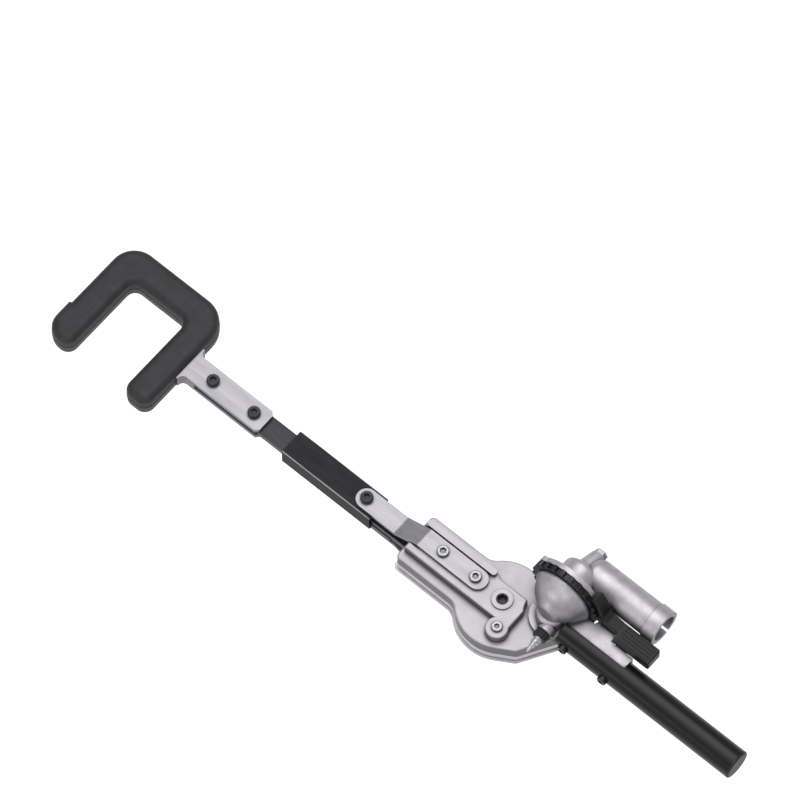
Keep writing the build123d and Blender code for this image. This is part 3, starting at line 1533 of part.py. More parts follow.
ear_bolt_x = ear_start + ear_length / 2
input_clip_x = input_bearing_x + bearing_width + 0.1
with BuildPart() as socket_casting:
    with BuildSketch(pole_plane(fold_x + socket_setback)):
        Circle(socket_radius)
    extrude(amount=-fold_x - socket_setback)
    fillet(socket_casting.edges().group_by(Axis.X)[0], radius=socket_end_blend)
    with BuildSketch(Plane.XY) as socket_profile:
        with BuildLine():
            Polyline(
                (fold_x, flange_face),
                (fold_x + flange_radius, flange_face),
                (fold_x + flange_radius, flange_face + flange_rim),
                (fold_x + housing_radius, flange_face + flange_rim),
                (fold_x + housing_radius, housing_end),
                (fold_x, housing_end),
                close=True,
            )
        make_face()
        corners = socket_profile.vertices().sort_by(Axis.X)
        housing_corners = corners.filter_by(lambda v: abs(v.X - fold_x - housing_radius) < 0.01)
        fillet(housing_corners.sort_by(Axis.Y)[0], radius=5.0)
        far_corner = socket_profile.vertices().filter_by(
            lambda v: abs(v.X - fold_x - housing_radius) < 0.01 and v.Y > housing_end - 0.01
        )
        fillet(far_corner, radius=housing_blend)
    revolve(axis=Axis((fold_x, 0, 0), (0, 1, 0)))
    with BuildSketch(Plane.XY):
        with BuildLine():
            Polyline(
                (fold_x, housing_end - housing_wall / 2),
                (fold_x + housing_boss_foot, housing_end - housing_wall / 2),
                (fold_x + housing_boss_top, housing_boss_end),
                (fold_x, housing_boss_end),
                close=True,
            )
        make_face()
    revolve(axis=Axis((fold_x, 0, 0), (0, 1, 0)))
    with BuildSketch(fold_plane(flange_face + flange_rim)):
        with Locations(*ring_spots(flange_boss_circle)):
            Circle(flange_boss_radius)
    extrude(amount=flange_rim)
    with BuildSketch(pole_plane(-lip_length)):
        Circle(socket_radius + lip_rise)
    extrude(amount=lip_length)
    with BuildSketch(ear_plane(-ear_half_width)) as ear_outline:
        with Locations((ear_start, pole_radius + 1.2)):
            Rectangle(ear_length, ear_reach - pole_radius - 1.2, align=(Align.MIN, Align.MIN))
        fillet(ear_outline.vertices().group_by(Axis.Y)[-1], radius=5.0)
    extrude(amount=2 * ear_half_width)
    with BuildSketch(fold_plane(housing_end - housing_wall)):
        Circle(pivot_radius + clip_rise + pass_gap)
    extrude(amount=housing_end - housing_wall - flange_back, mode=Mode.SUBTRACT)
    with BuildSketch(fold_plane(flange_back)):
        Circle(pivot_radius + running_fit)
    extrude(amount=flange_thickness, mode=Mode.SUBTRACT)
    with BuildSketch(pole_plane(fold_x + mitre_front)):
        Circle(gear_room)
    extrude(amount=input_bearing_x - fold_x - mitre_front, mode=Mode.SUBTRACT)
    with BuildSketch(pole_plane(input_bearing_x)):
        Circle(input_bearing_outer + seat_fit)
    extrude(amount=-input_bearing_x - socket_bore_length, mode=Mode.SUBTRACT)
    with BuildSketch(pole_plane(input_clip_x)):
        Circle(input_bearing_outer + clip_rise / 2)
    extrude(amount=clip_thickness, mode=Mode.SUBTRACT)
    with BuildSketch(pole_plane(-socket_bore_length)):
        Circle(pole_radius)
    extrude(amount=socket_bore_length, mode=Mode.SUBTRACT)
    with BuildSketch(ear_plane(-pinch_slit / 2)):
        with Locations((-socket_bore_length, 0)):
            Rectangle(socket_bore_length, ear_reach, align=(Align.MIN, Align.MIN))
    extrude(amount=pinch_slit, mode=Mode.SUBTRACT)
    with BuildSketch(ear_plane(-ear_half_width)):
        with Locations((ear_bolt_x, ear_bolt_reach)):
            Circle(pinch_bolt_radius + screw_gap)
    extrude(amount=2 * ear_half_width, mode=Mode.SUBTRACT)
    with BuildSketch(fold_plane(flange_face)):
        with Locations(*ring_spots(ring_screw_circle)):
            Circle(2.0 + seat_fit)
    extrude(amount=-flange_rim + 0.5, mode=Mode.SUBTRACT)
    with BuildSketch(fold_plane(housing_boss_end)):
        Circle(housing_plug_radius + seat_fit)
    extrude(amount=housing_boss_end - housing_end + housing_wall, mode=Mode.SUBTRACT)
write(socket_casting, "socket_casting")

# Plug in the back of the bevel housing, for greasing the wheels
plug_head_seat = Plane((fold_x, housing_boss_end, 0), x_dir=(1, 0, 0), z_dir=(0, 1, 0))
with BuildPart() as housing_plug:
    with BuildSketch(plug_head_seat):
        RegularPolygon(housing_plug_flats / 2, 6, major_radius=False)
    extrude(amount=housing_plug_head)
    fillet(housing_plug.edges().group_by(Axis.Y)[-1], radius=0.8)
    with BuildSketch(plug_head_seat):
        Circle(housing_plug_radius)
    extrude(amount=-housing_plug_length)
write(housing_plug, "housing_plug")

write(
    cap_screws(
        ear_plane(ear_half_width),
        [(ear_bolt_x, ear_bolt_reach)],
        pinch_bolt_radius,
        2 * ear_half_width + 6.0,
        pinch_bolt_radius + 1.75,
        5.0,
        4.0,
    ),
    "pinch_bolt",
)
nut_plane = Plane(tuple(ear_across * -ear_half_width), x_dir=(1, 0, 0), z_dir=tuple(ear_across * -1))
write(hex_nuts(nut_plane, [(ear_bolt_x, -ear_bolt_reach)], pinch_bolt_radius, 8.0, 4.0), "pinch_nut")

input_end = -socket_bore_length - 0.5
with BuildPart() as input_shaft:
    with BuildSketch(pole_plane(fold_x + cross_end)):
        Circle(spindle)
    extrude(amount=input_mitre_back - fold_x - cross_end)
    with BuildSketch(pole_plane(input_mitre_back)):
        Circle(input_shaft_radius - running_fit)
    extrude(amount=input_end - input_mitre_back)
    with BuildSketch(pole_plane(input_end)):
        Rectangle(drive_square, drive_square)
    extrude(amount=-drive_depth, mode=Mode.SUBTRACT)
write(input_shaft, "input_shaft")
write(
    ball_bearing(pole_plane(input_bearing_x), input_shaft_radius, input_bearing_outer, bearing_width),
    "input_bearing",
)
write(
    snap_ring(
        pole_plane(input_clip_x),
        input_bearing_outer - clip_rise,
        input_bearing_outer + clip_rise / 2 - seat_fit,
        0.3,
    ),
    "input_circlip",
)
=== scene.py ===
import math

import bmesh
import bpy
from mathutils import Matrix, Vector


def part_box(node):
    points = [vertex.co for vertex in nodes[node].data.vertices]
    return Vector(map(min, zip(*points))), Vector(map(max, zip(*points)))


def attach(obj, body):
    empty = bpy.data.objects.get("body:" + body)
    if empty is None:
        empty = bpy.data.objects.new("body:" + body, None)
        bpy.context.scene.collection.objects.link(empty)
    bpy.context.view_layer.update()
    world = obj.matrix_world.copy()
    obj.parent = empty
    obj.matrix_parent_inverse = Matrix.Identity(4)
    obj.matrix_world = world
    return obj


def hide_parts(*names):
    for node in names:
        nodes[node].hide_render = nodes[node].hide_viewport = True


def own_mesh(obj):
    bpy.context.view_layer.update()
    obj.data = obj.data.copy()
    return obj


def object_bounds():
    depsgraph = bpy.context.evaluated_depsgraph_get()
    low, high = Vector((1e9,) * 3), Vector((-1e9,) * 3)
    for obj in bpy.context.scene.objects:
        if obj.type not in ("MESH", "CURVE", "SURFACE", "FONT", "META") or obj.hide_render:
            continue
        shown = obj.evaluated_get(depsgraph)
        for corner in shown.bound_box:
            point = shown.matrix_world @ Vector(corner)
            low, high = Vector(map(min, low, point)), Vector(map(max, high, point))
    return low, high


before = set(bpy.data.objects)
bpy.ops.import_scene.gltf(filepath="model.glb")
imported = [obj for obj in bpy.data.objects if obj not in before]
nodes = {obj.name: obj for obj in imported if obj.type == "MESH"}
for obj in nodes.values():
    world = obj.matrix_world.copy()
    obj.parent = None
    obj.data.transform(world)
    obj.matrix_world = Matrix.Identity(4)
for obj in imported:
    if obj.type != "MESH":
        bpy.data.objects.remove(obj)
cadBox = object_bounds()
print("frame loaded:", len(nodes), "CAD nodes")

mm = 0.001


def linearColour(hexText):
    # sRGB hex to the linear colour that shaders take
    channels = [int(hexText[i : i + 2], 16) / 255 for i in (1, 3, 5)]
    linear = [c / 12.92 if c <= 0.04045 else ((c + 0.055) / 1.055) ** 2.4 for c in channels]
    return (*linear, 1.0)


def addNode(tree, kind, settings=None, **inputs):
    # One shader node; input keys are socket identifiers without spaces, and a socket as value is linked
    node = tree.nodes.new(kind)
    for key, value in (settings or {}).items():
        setattr(node, key, value)
    for key, value in inputs.items():
        socket = next(s for s in node.inputs if s.identifier.replace(" ", "") == key)
        if isinstance(value, bpy.types.NodeSocket):
            tree.links.new(value, socket)
        else:
            socket.default_value = value
    return node


# What all finishes share: the two noises, and where the painted wall shade, the painted edge highlight with
# its wear-like patches, the painted corner shade and the milled-looking bright band begin and end
wearSpec = {
    "mottleDetail": 4.0,
    "mottleRoughness": 0.6,
    "mottleRange": (0.3, 0.72),  # noise at the dark and at the light colour
    "grainDetail": 3.0,
    "grainRoughness": 0.55,
    "levelRange": (0.1, 0.8),  # how level a face lies, from a wall in full painted shade to an unshaded face
    "rubRange": (0.35, 0.65, 0.98),  # how level a sloped face lies where the painted edge highlight begins, peaks and ends
    "rubPatches": (0.3, 0.6),  # noise from a dull to a bright patch
    "rubLeast": 0.3,  # a dull patch, as a share of a bright one
    "cornerRange": (0.4, 0.95),  # how open a place is, from a corner in full painted shade to an unshaded face
    "cornerSamples": 8,
    "milledTone": 1.3,
    "milledBlend": 0.4 * mm,
}
smoothly = {"interpolation_type": "SMOOTHSTEP"}
scaling = {"operation": "SCALE"}


def surface(spec):
    # Principled material with colour variation, varied roughness and bump from two noises
    material = bpy.data.materials.new(spec["name"])
    material.use_nodes = True
    tree = material.node_tree
    shader = tree.nodes["Principled BSDF"]
    coordinates = addNode(tree, "ShaderNodeTexCoord")
    scale = [1 / mm * share for share in spec.get("stretch", (1, 1, 1))]
    space = addNode(tree, "ShaderNodeMapping", Vector=coordinates.outputs["Object"], Scale=scale).outputs[0]
    mottle = addNode(
        tree,
        "ShaderNodeTexNoise",
        Vector=space,
        Scale=1 / spec["mottleSize"],
        Detail=wearSpec["mottleDetail"],
        Roughness=wearSpec["mottleRoughness"],
    ).outputs[0]
    grain = addNode(
        tree,
        "ShaderNodeTexNoise",
        Vector=space,
        Scale=1 / spec["grainSize"],
        Detail=wearSpec["grainDetail"],
        Roughness=wearSpec["grainRoughness"],
    ).outputs[0]
    ramp = addNode(tree, "ShaderNodeValToRGB", Fac=mottle)
    for stop, position, tint in zip(ramp.color_ramp.elements, wearSpec["mottleRange"], ("dark", "light")):
        stop.position = position
        stop.color = linearColour(spec[tint])
    colour = ramp.outputs[0]

    if "flank" in spec:
        # Painted shade: side walls are darkened by how upright they stand, and upper and lower faces are left
        # bright
        normal = addNode(tree, "ShaderNodeSeparateXYZ", Vector=coordinates.outputs["Normal"])
        level = addNode(
            tree, "ShaderNodeMath", {"operation": "ABSOLUTE"}, Value=normal.outputs["Z"]
        ).outputs[0]
        shadedWallTone = spec["flank"]
        if "milledTo" in spec:
            # Below this height beside the joint the walls are painted brighter than the tops: a milled band
            # with a painted highlight
            place = addNode(tree, "ShaderNodeSeparateXYZ", Vector=coordinates.outputs["Object"])
            shadedWallTone = addNode(
                tree,
                "ShaderNodeMapRange",
                Value=place.outputs["Z"],
                FromMin=spec["milledTo"] - wearSpec["milledBlend"],
                FromMax=spec["milledTo"] + wearSpec["milledBlend"],
                ToMin=wearSpec["milledTone"],
                ToMax=spec["flank"],
            ).outputs[0]
        wall, flat = wearSpec["levelRange"]
        wallShadeFactor = addNode(
            tree,
            "ShaderNodeMapRange",
            smoothly,
            Value=level,
            FromMin=wall,
            FromMax=flat,
            ToMin=shadedWallTone,
            ToMax=1.0,
        ).outputs[0]
        colour = addNode(tree, "ShaderNodeVectorMath", scaling, Vector=colour, Scale=wallShadeFactor).outputs[0]
        if "rub" in spec:
            # Painted highlight on rounded long edges and other sloped faces, added in patches like wear
            begin, peak, end = wearSpec["rubRange"]
            sheenRamp = addNode(tree, "ShaderNodeValToRGB", Fac=level)
            sheenRamp.color_ramp.elements[0].position = begin
            sheenRamp.color_ramp.elements[1].position = peak
            sheenRamp.color_ramp.elements.new(end).color = (0, 0, 0, 1)
            dull, bright = wearSpec["rubPatches"]
            patches = addNode(
                tree,
                "ShaderNodeMapRange",
                smoothly,
                Value=mottle,
                FromMin=dull,
                FromMax=bright,
                ToMin=spec["rub"] * wearSpec["rubLeast"],
                ToMax=spec["rub"],
            ).outputs[0]
            wearSheenColour = addNode(
                tree, "ShaderNodeVectorMath", scaling, Vector=sheenRamp.outputs[0], Scale=patches
            ).outputs[0]
            colour = addNode(
                tree, "ShaderNodeVectorMath", {"operation": "ADD"}, Vector=colour, Vector_001=wearSheenColour
            ).outputs[0]

    if "grime" in spec:
        # Painted shade: corners and sockets darkened by ambient occlusion
        corner = addNode(
            tree,
            "ShaderNodeAmbientOcclusion",
            {"samples": wearSpec["cornerSamples"]},
            Distance=spec["grimeReach"] * mm,
        )
        shadedEnd, openEnd = wearSpec["cornerRange"]
        cornerShadeFactor = addNode(
            tree,
            "ShaderNodeMapRange",
            smoothly,
            Value=corner.outputs["AO"],
            FromMin=shadedEnd,
            FromMax=openEnd,
            ToMin=spec["grime"],
            ToMax=1.0,
        ).outputs[0]
        colour = addNode(tree, "ShaderNodeVectorMath", scaling, Vector=colour, Scale=cornerShadeFactor).outputs[0]
    tree.links.new(colour, shader.inputs["Base Color"])

    # Grain varies the gloss and gives the bump, over edges that shade as rounded
    least, most = spec["rough"]
    rough = addNode(tree, "ShaderNodeMapRange", Value=grain, ToMin=least, ToMax=most).outputs[0]
    tree.links.new(rough, shader.inputs["Roughness"])
    bevel = addNode(tree, "ShaderNodeBevel", Radius=spec["edge"] * mm).outputs[0]
    bump = addNode(
        tree,
        "ShaderNodeBump",
        Strength=spec["bump"],
        Distance=spec["depth"] * mm,
        Height=grain,
        Normal=bevel,
    ).outputs[0]
    tree.links.new(bump, shader.inputs["Normal"])
    shader.inputs["Metallic"].default_value = spec["metal"]
    shader.inputs["Specular IOR Level"].default_value = spec.get("specular", 0.5)
    return material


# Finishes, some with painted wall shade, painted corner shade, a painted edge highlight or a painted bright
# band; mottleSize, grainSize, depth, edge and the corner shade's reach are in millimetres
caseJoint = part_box("crankcase_upper")[0].z
finishSpecs = [
    # Compression-moulded natural rubber, satin skin with a fine mould grain
    dict(name="moulded_rubber", dark="#1c1a1d", light="#2a272b", mottleSize=9, grainSize=0.5,
         rough=(0.48, 0.68), bump=0.35, depth=0.12, metal=0.0, specular=0.38, edge=0.6),
    # Rolled aluminium plate, tumbled, grain along the strip
    dict(name="rolled_aluminium", dark="#8a888d", light="#9c9a9f", mottleSize=6, grainSize=0.35,
         stretch=(0.12, 1, 1), rough=(0.36, 0.5), bump=0.12, depth=0.03, metal=0.75, edge=0.35,
         flank=0.5, grime=0.4, grimeReach=3.0),
    # Die-cast aluminium gear case, top linished, walls in painted shade with a painted bright band like a
    # milled strip beside the joint
    dict(name="linished_casting", dark="#a09da1", light="#aca9ad", mottleSize=14, grainSize=0.4,
         rough=(0.44, 0.58), bump=0.22, depth=0.05, metal=0.7, edge=0.5,
         flank=0.32, grime=0.3, grimeReach=4.0, milledTo=caseJoint + 7.0 * mm),
    # Die-cast aluminium cover, tumbled
    dict(name="tumbled_casting", dark="#b4b1b5", light="#bebbbf", mottleSize=14, grainSize=0.4,
         rough=(0.42, 0.55), bump=0.22, depth=0.05, metal=0.7, edge=0.5, flank=0.75),
    # Sand-cast aluminium elbow and socket, shot-blasted
    dict(name="blasted_casting", dark="#9d9a9f", light="#b8b5b9", mottleSize=11, grainSize=0.5,
         rough=(0.38, 0.54), bump=0.4, depth=0.08, metal=0.72, edge=0.6,
         flank=0.52, grime=0.25, grimeReach=5.0),
    # Drawn steel, hot black oxide under oil
    dict(name="black_oxide_steel", dark="#1b1a1c", light="#2a292c", mottleSize=4, grainSize=0.3,
         rough=(0.3, 0.45), bump=0.15, depth=0.03, metal=0.55, edge=0.3),
    # Cold-drawn flat bar, phosphated and oiled, grain along the bar
    dict(name="phosphated_bar", dark="#262528", light="#333135", mottleSize=5, grainSize=0.3,
         stretch=(0.15, 1, 1), rough=(0.34, 0.5), bump=0.15, depth=0.03, metal=0.6, edge=0.3),
    # Extruded sleeve, black anodised, with a painted highlight in wear-like patches on its long edges
    dict(name="black_anodised", dark="#242326", light="#2e2d30", mottleSize=6, grainSize=0.3,
         stretch=(0.2, 1, 1), rough=(0.3, 0.42), bump=0.1, depth=0.02, metal=0.0, specular=0.04, edge=0.5,
         flank=0.2, rub=0.45),
    # Bright zinc plating over turned steel
    dict(name="zinc_plate", dark="#828183", light="#999899", mottleSize=2, grainSize=0.25,
         rough=(0.3, 0.42), bump=0.1, depth=0.02, metal=0.95, edge=0.25,
         flank=0.4, grime=0.1, grimeReach=4.0),
    # Bright zinc plating on a small turned stem, polished by handling
    dict(name="polished_zinc", dark="#a3a2a4", light="#bdbcbe", mottleSize=2, grainSize=0.25,
         rough=(0.38, 0.5), bump=0.1, depth=0.02, metal=0.8, edge=0.15),
    # Hardened and ground gear steel, oiled
    dict(name="ground_gear_steel", dark="#86868a", light="#a3a3a6", mottleSize=3, grainSize=0.25,
         rough=(0.25, 0.4), bump=0.1, depth=0.02, metal=0.95, edge=0.2),
    # Polished bearing rings
    dict(name="bearing_steel", dark="#b5b5b8", light="#cdcdd0", mottleSize=3, grainSize=0.2,
         rough=(0.15, 0.24), bump=0.05, depth=0.01, metal=1.0, edge=0.2),
    # Acetal slide strip, machined
    dict(name="black_acetal", dark="#1d1d1e", light="#28282a", mottleSize=4, grainSize=0.4,
         rough=(0.4, 0.5), bump=0.1, depth=0.02, metal=0.0, edge=0.3),
    # Injection-moulded glass-filled nylon, spark-eroded texture
    dict(name="filled_nylon", dark="#151416", light="#201f21", mottleSize=5, grainSize=0.35,
         rough=(0.42, 0.58), bump=0.3, depth=0.05, metal=0.0, specular=0.3, edge=0.5),
    # Nitrile wiper
    dict(name="nitrile_rubber", dark="#141315", light="#1d1c1e", mottleSize=4, grainSize=0.4,
         rough=(0.5, 0.62), bump=0.15, depth=0.03, metal=0.0, edge=0.2),
    # Pressed fibre gasket
    dict(name="pressed_fibre", dark="#3a3936", light="#4a4844", mottleSize=2, grainSize=0.3,
         rough=(0.7, 0.85), bump=0.3, depth=0.04, metal=0.0, edge=0.1),
    # Drawn spring wire
    dict(name="spring_wire", dark="#7c7c80", light="#98989c", mottleSize=2, grainSize=0.2,
         rough=(0.22, 0.34), bump=0.05, depth=0.01, metal=1.0, edge=0.1),
    # Seamless tube, black stoved enamel over a draw-marked surface
    dict(name="stoved_enamel", dark="#0a090b", light="#100f11", mottleSize=7, grainSize=0.6,
         stretch=(0.25, 1, 1), rough=(0.25, 0.36), bump=0.12, depth=0.03, metal=0.0, specular=0.25, edge=0.4),
]
finishes = {spec["name"]: surface(spec) for spec in finishSpecs}
print("finishes:", len(finishes))

nodeFinish = {
    "rolled_aluminium": ["hook_frame", "upper_link_plate", "lower_link_plate"],
    "linished_casting": ["crankcase_upper"],
    "tumbled_casting": ["crankcase_lower"],
    "blasted_casting": ["elbow_casting", "socket_casting"],
    "black_oxide_steel": [
        "hook_screws", "hook_nuts", "sleeve_bolt", "sleeve_nut", "case_screws", "crank_plug",
        "handle_screws", "index_ring", "ring_screws", "pivot_circlip", "elbow_circlip", "input_circlip",
        "pinch_bolt", "pinch_nut",
    ],
    "phosphated_bar": ["drive_bar"],
    "black_anodised": ["guide_sleeve"],
    "zinc_plate": ["plate_screws", "filler_screw", "latch_pin", "elbow_dowel", "housing_plug"],
    "polished_zinc": ["grease_nipple"],
    "ground_gear_steel": [
        "crankshaft", "crank_gear", "connecting_rod", "wrist_pin", "pinion_shaft", "pinion_bevel",
        "cross_shaft", "cross_bevel_inner", "cross_bevel_outer", "input_shaft", "input_bevel", "pivot_sleeve",
    ],
    "bearing_steel": [
        "crank_bearing_upper", "crank_bearing_lower", "pinion_bearing_upper", "pinion_bearing_lower",
        "cross_bearing_inner", "cross_bearing_outer", "input_bearing",
    ],
    "black_acetal": ["upper_wear_pad", "lower_wear_pad"],
    "filled_nylon": ["latch_lever", "handle_end_plug", "grease_plug"],
    "nitrile_rubber": ["bar_seal"],
    "pressed_fibre": ["case_gasket"],
    "spring_wire": ["latch_spring"],
    "stoved_enamel": ["handle_tube"],
    "moulded_rubber": ["hook_rubber"],
}
for finishName, members in nodeFinish.items():
    for member in members:
        piece = nodes[member]
        if not piece.material_slots:
            piece.data.materials.append(None)
        for materialSlot in piece.material_slots:
            materialSlot.link = "OBJECT"
            materialSlot.material = finishes[finishName]
print("CAD nodes dressed:", sum(len(members) for members in nodeFinish.values()))


def skinRings(name, rings, finishName, smooth):
    # Closed mesh over rings of points, with flat ends
    mesh = bmesh.new()
    loops = [[mesh.verts.new(point) for point in ring] for ring in rings]
    for lower, upper in zip(loops, loops[1:]):
        for i in range(len(lower)):
            j = (i + 1) % len(lower)
            mesh.faces.new((lower[i], lower[j], upper[j], upper[i])).smooth = smooth
    mesh.faces.new(reversed(loops[0]))
    mesh.faces.new(loops[-1])
    bmesh.ops.recalc_face_normals(mesh, faces=mesh.faces)
    data = bpy.data.meshes.new(name)
    mesh.to_mesh(data)
    mesh.free()
    data.materials.append(finishes[finishName])
    piece = bpy.data.objects.new(name, data)
    bpy.context.scene.collection.objects.link(piece)
    print(name, "made:", len(data.polygons), "faces")
    return piece


# Hook rubber: one moulded C with rounded edges, a thicker tip on the far arm and a parting line
low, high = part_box("hook_rubber")
hookSpec = {
    "arm": 26.0 * mm,
    "back": 27.0 * mm,
    "edge": 7.0 * mm,
    "stepRise": 2.0 * mm,
    "stepLength": 33.0 * mm,
    "outerCorner": 22.0 * mm,
    "tangCorner": 25.0 * mm,  # still covers the square corner of the metal core
    "innerCorner": 8.0 * mm,
    "tipCorner": 10.0 * mm,
    "farTipCorner": 17.0 * mm,
    "stepCorner": 1.0 * mm,
    "leastCorner": 0.5 * mm,
    "rim": 0.5 * mm,  # flat strip between the rounded edge and the flat face
    "seamRise": 0.25 * mm,
    "seamHalf": 0.4 * mm,
    "cornerSteps": 12,
    "edgeSteps": 8,
}


def hookOutline(inset):
    # Round the C, drawn in by the inset; convex corners tighten and the mouth's corners open
    left = low.x + hookSpec["stepRise"]
    innerLeft = left + hookSpec["arm"]
    innerRight = high.x - hookSpec["arm"]
    mouth = high.y - hookSpec["back"]
    step = low.y + hookSpec["stepLength"]
    tip = hookSpec["tipCorner"]
    corners = [
        # x, y, radius, the way to draw in, and 1 on a convex corner or -1 on a hollow one
        (high.x, low.y, tip, -1, 1, 1),
        (high.x, high.y, hookSpec["tangCorner"], -1, -1, 1),
        (left, high.y, hookSpec["outerCorner"], 1, -1, 1),
        (left, step, hookSpec["stepCorner"], 1, -1, 0),
        (low.x, step, hookSpec["stepCorner"], 1, -1, 0),
        (low.x, low.y, hookSpec["farTipCorner"], 1, 1, 1),
        (innerLeft, low.y, tip, -1, 1, 1),
        (innerLeft, mouth, hookSpec["innerCorner"], -1, 1, -1),
        (innerRight, mouth, hookSpec["innerCorner"], 1, 1, -1),
        (innerRight, low.y, tip, 1, 1, 1),
    ]
    places = [Vector((x + inset * sideX, y + inset * sideY)) for x, y, _, sideX, sideY, _ in corners]
    outline = []
    for i, (place, corner) in enumerate(zip(places, corners)):
        radius = max(corner[2] - corner[5] * inset, hookSpec["leastCorner"])
        toLast = (places[i - 1] - place).normalized()
        toNext = (places[(i + 1) % len(places)] - place).normalized()
        centre = place + (toLast + toNext) * radius
        for k in range(hookSpec["cornerSteps"] + 1):
            turn = math.pi / 2 * k / hookSpec["cornerSteps"]
            outline.append(centre - toNext * radius * math.cos(turn) - toLast * radius * math.sin(turn))
    return outline


edge = hookSpec["edge"]
middle = (low.z + high.z) / 2
rounding = [math.pi / 2 * k / hookSpec["edgeSteps"] for k in range(hookSpec["edgeSteps"] + 1)]
lowerEdge = [(low.z + edge * (1 - math.sin(a)), edge * (1 - math.cos(a))) for a in reversed(rounding)]
seam = [
    (middle - hookSpec["seamHalf"], 0.0),
    (middle, -hookSpec["seamRise"]),
    (middle + hookSpec["seamHalf"], 0.0),
]
upperEdge = [(high.z - edge * (1 - math.sin(a)), edge * (1 - math.cos(a))) for a in rounding]
flatRim = edge + hookSpec["rim"]
layers = [(low.z, flatRim)] + lowerEdge + seam + upperEdge + [(high.z, flatRim)]
hookRings = [[(p.x, p.y, z) for p in hookOutline(inset)] for z, inset in layers]
hookCover = skinRings("hook_cover", hookRings, "moulded_rubber", smooth=True)
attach(hookCover, "hook_slide")
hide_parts("hook_rubber")

# Latch spring: one coil under the lever
coilLow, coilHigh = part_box("latch_spring")
coilSpec = {"turns": 3, "wire": 1.0 * mm, "turnSteps": 28, "ringSteps": 10, "keep": 0.56}
wireRadius = coilSpec["wire"] / 2
coilCentre = (coilLow + coilHigh) / 2
coilRadius = (coilHigh.x - coilLow.x) / 2 - wireRadius
coilHeight = coilHigh.z - coilLow.z - 2 * wireRadius
coilClimb = coilHeight / (2 * math.pi * coilSpec["turns"])
coilRings = []
for step in range(coilSpec["turns"] * coilSpec["turnSteps"] + 1):
    turn = 2 * math.pi * step / coilSpec["turnSteps"]
    outward = Vector((math.cos(turn), math.sin(turn), 0))
    along = Vector((-coilRadius * math.sin(turn), coilRadius * math.cos(turn), coilClimb)).normalized()
    across = outward.cross(along)
    spot = coilCentre + outward * coilRadius + Vector((0, 0, coilClimb * turn - coilHeight / 2))
    ring = []
    for k in range(coilSpec["ringSteps"]):
        angle = 2 * math.pi * k / coilSpec["ringSteps"]
        ring.append(spot + (outward * math.cos(angle) + across * math.sin(angle)) * wireRadius)
    coilRings.append(ring)
latchCoil = skinRings("latch_coil", coilRings, "spring_wire", smooth=True)
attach(latchCoil, "gear_head")
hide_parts("latch_spring")
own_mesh(latchCoil)

# Grease nipple: a barbed stem that tapers to its tip, stouter than the solid that it stands for
nippleLow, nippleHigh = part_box("grease_nipple")
nippleSpec = {
    "barbs": 3,
    "rootRadius": 3.5 * mm,
    "lastRadius": 2.4 * mm,
    "groove": 0.9 * mm,
    "crestShare": 0.45,  # of a barb's pitch, where its crest ends
    "grooveShare": 0.65,  # of a barb's pitch, where its groove begins
    "tipRadius": 1.2 * mm,
    "tipLength": 4.0 * mm,
    "stubRadius": 1.4 * mm,  # the part in the plug's bore
    "sideSteps": 48,
}
nippleCentre = (nippleLow + nippleHigh) / 2
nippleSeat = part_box("grease_plug")[0].y
barbPitch = (nippleSeat - nippleLow.y - nippleSpec["tipLength"]) / nippleSpec["barbs"]
profile = [(nippleSpec["stubRadius"], nippleHigh.y), (nippleSpec["stubRadius"], nippleSeat)]
for barb in range(nippleSpec["barbs"]):
    taper = (barb / (nippleSpec["barbs"] - 1)) ** 2
    crest = nippleSpec["rootRadius"] * (1 - taper) + nippleSpec["lastRadius"] * taper
    groove = crest - nippleSpec["groove"]
    barbPoints = [
        (crest, 0.0),
        (crest, nippleSpec["crestShare"]),
        (groove, nippleSpec["grooveShare"]),
        (groove, 1.0),
    ]
    profile += [(radius, nippleSeat - (barb + share) * barbPitch) for radius, share in barbPoints]
profile.append((nippleSpec["tipRadius"], nippleLow.y + nippleSpec["tipRadius"]))
profile.append((nippleSpec["tipRadius"] / 2, nippleLow.y))
nippleRings = []
for radius, y in profile:
    ring = []
    for k in range(nippleSpec["sideSteps"]):
        angle = 2 * math.pi * k / nippleSpec["sideSteps"]
        ring.append((nippleCentre.x + radius * math.cos(angle), y, nippleCentre.z + radius * math.sin(angle)))
    nippleRings.append(ring)
nippleStem = skinRings("nipple_stem", nippleRings, "polished_zinc", smooth=False)
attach(nippleStem, "gear_head")
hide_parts("grease_nipple")

# Floor: white paper on a light table, far enough down for the folded head to hang clear of it
floorSpec = {
    "size": 16.0,
    "middle": -0.25,
    "gap": 450.0 * mm,
    "colour": "#f4f4f4",
    "roughness": 0.9,
    "glow": 0.3,
}
floorPlace = (floorSpec["middle"], 0, cadBox[0].z - floorSpec["gap"])
bpy.ops.mesh.primitive_plane_add(size=floorSpec["size"], location=floorPlace)
floor = bpy.context.object
floor.name = "floor"
floorMaterial = bpy.data.materials.new("matt_paper")
floorMaterial.use_nodes = True
paper = floorMaterial.node_tree.nodes["Principled BSDF"]
paper.inputs["Base Color"].default_value = linearColour(floorSpec["colour"])
paper.inputs["Roughness"].default_value = floorSpec["roughness"]
paper.inputs["Emission Color"].default_value = linearColour(floorSpec["colour"])
paper.inputs["Emission Strength"].default_value = floorSpec["glow"]
floor.data.materials.append(floorMaterial)

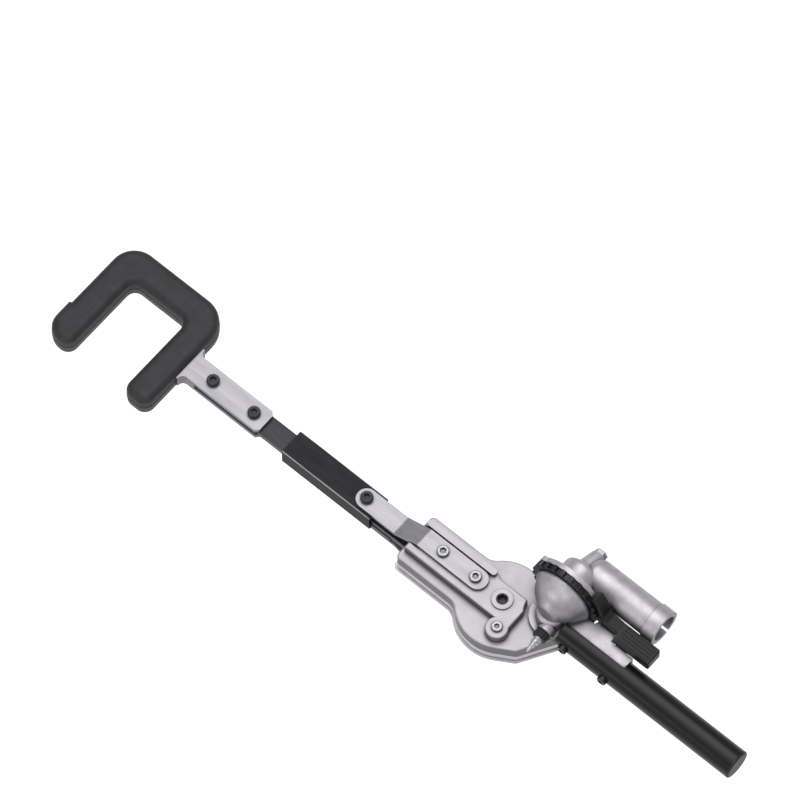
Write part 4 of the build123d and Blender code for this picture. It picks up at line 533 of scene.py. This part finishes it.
# Camera: the photograph's angle, a long lens, 800 x 800 image
cameraSpec = {
    "azimuth": 40.5,
    "elevation": 65.0,
    "lens": 300.0,
    "sensor": 36.0,
    "clipEnd": 100.0,
    "image": 800,
    "pixelsPerMm": 1.248,
    "crankPlace": (-117.5, -60.0, -35.0),  # crank axis at the bar's middle plane, in millimetres
    "crankPixel": (501.9, 610.5),
}
azimuth = math.radians(cameraSpec["azimuth"])
elevation = math.radians(cameraSpec["elevation"])
levelBack = Vector((math.sin(azimuth), -math.cos(azimuth), 0))
back = levelBack * math.cos(elevation) + Vector((0, 0, math.sin(elevation)))  # from the part to the camera
right = Vector((math.cos(azimuth), math.sin(azimuth), 0))
up = back.cross(right)
offset = [(p - cameraSpec["image"] / 2) / cameraSpec["pixelsPerMm"] * mm for p in cameraSpec["crankPixel"]]
aim = Vector(cameraSpec["crankPlace"]) * mm - right * offset[0] + up * offset[1]
viewWidth = cameraSpec["image"] / cameraSpec["pixelsPerMm"] * mm
cameraData = bpy.data.cameras.new("camera")
cameraData.lens = cameraSpec["lens"]
cameraData.sensor_width = cameraSpec["sensor"]
cameraData.clip_end = cameraSpec["clipEnd"]
camera = bpy.data.objects.new("camera", cameraData)
camera.location = aim + back * (cameraSpec["lens"] / cameraSpec["sensor"] * viewWidth)
camera.rotation_mode = "QUATERNION"
camera.rotation_quaternion = (-back).to_track_quat("-Z", "Y")
bpy.context.scene.collection.objects.link(camera)
bpy.context.scene.camera = camera

# Soft studio light: a wide panel overhead, a weaker one in front, a low one for the edges, and an even room
lights = [
    dict(name="front_panel", place=(0.3, -0.7, 1.6), target=(-0.2, -0.05, 0), size=1.2, watts=9.0),
    dict(name="top_panel", place=(-0.6, 0.35, 1.9), target=(-0.3, -0.02, 0), size=1.5, watts=22.0),
    dict(name="low_panel", place=(-0.68, -1.5, 0.5), target=(-0.25, -0.06, 0), size=0.6, watts=4.0),
]
for spec in lights:
    lampData = bpy.data.lights.new(spec["name"], "AREA")
    lampData.shape = "SQUARE"
    lampData.size = spec["size"]
    lampData.energy = spec["watts"]
    lamp = bpy.data.objects.new(spec["name"], lampData)
    lamp.location = spec["place"]
    toTarget = Vector(spec["target"]) - Vector(spec["place"])
    lamp.rotation_mode = "QUATERNION"
    lamp.rotation_quaternion = toTarget.to_track_quat("-Z", "Y")
    bpy.context.scene.collection.objects.link(lamp)

roomSpec = {"colour": "#ffffff", "strength": 0.58}
world = bpy.data.worlds.new("room")
bpy.context.scene.world = world
world.use_nodes = True
room = world.node_tree.nodes["Background"]
room.inputs["Color"].default_value = linearColour(roomSpec["colour"])
room.inputs["Strength"].default_value = roomSpec["strength"]
bpy.context.scene.view_settings.view_transform = "Standard"
print("stage, camera and lights set")
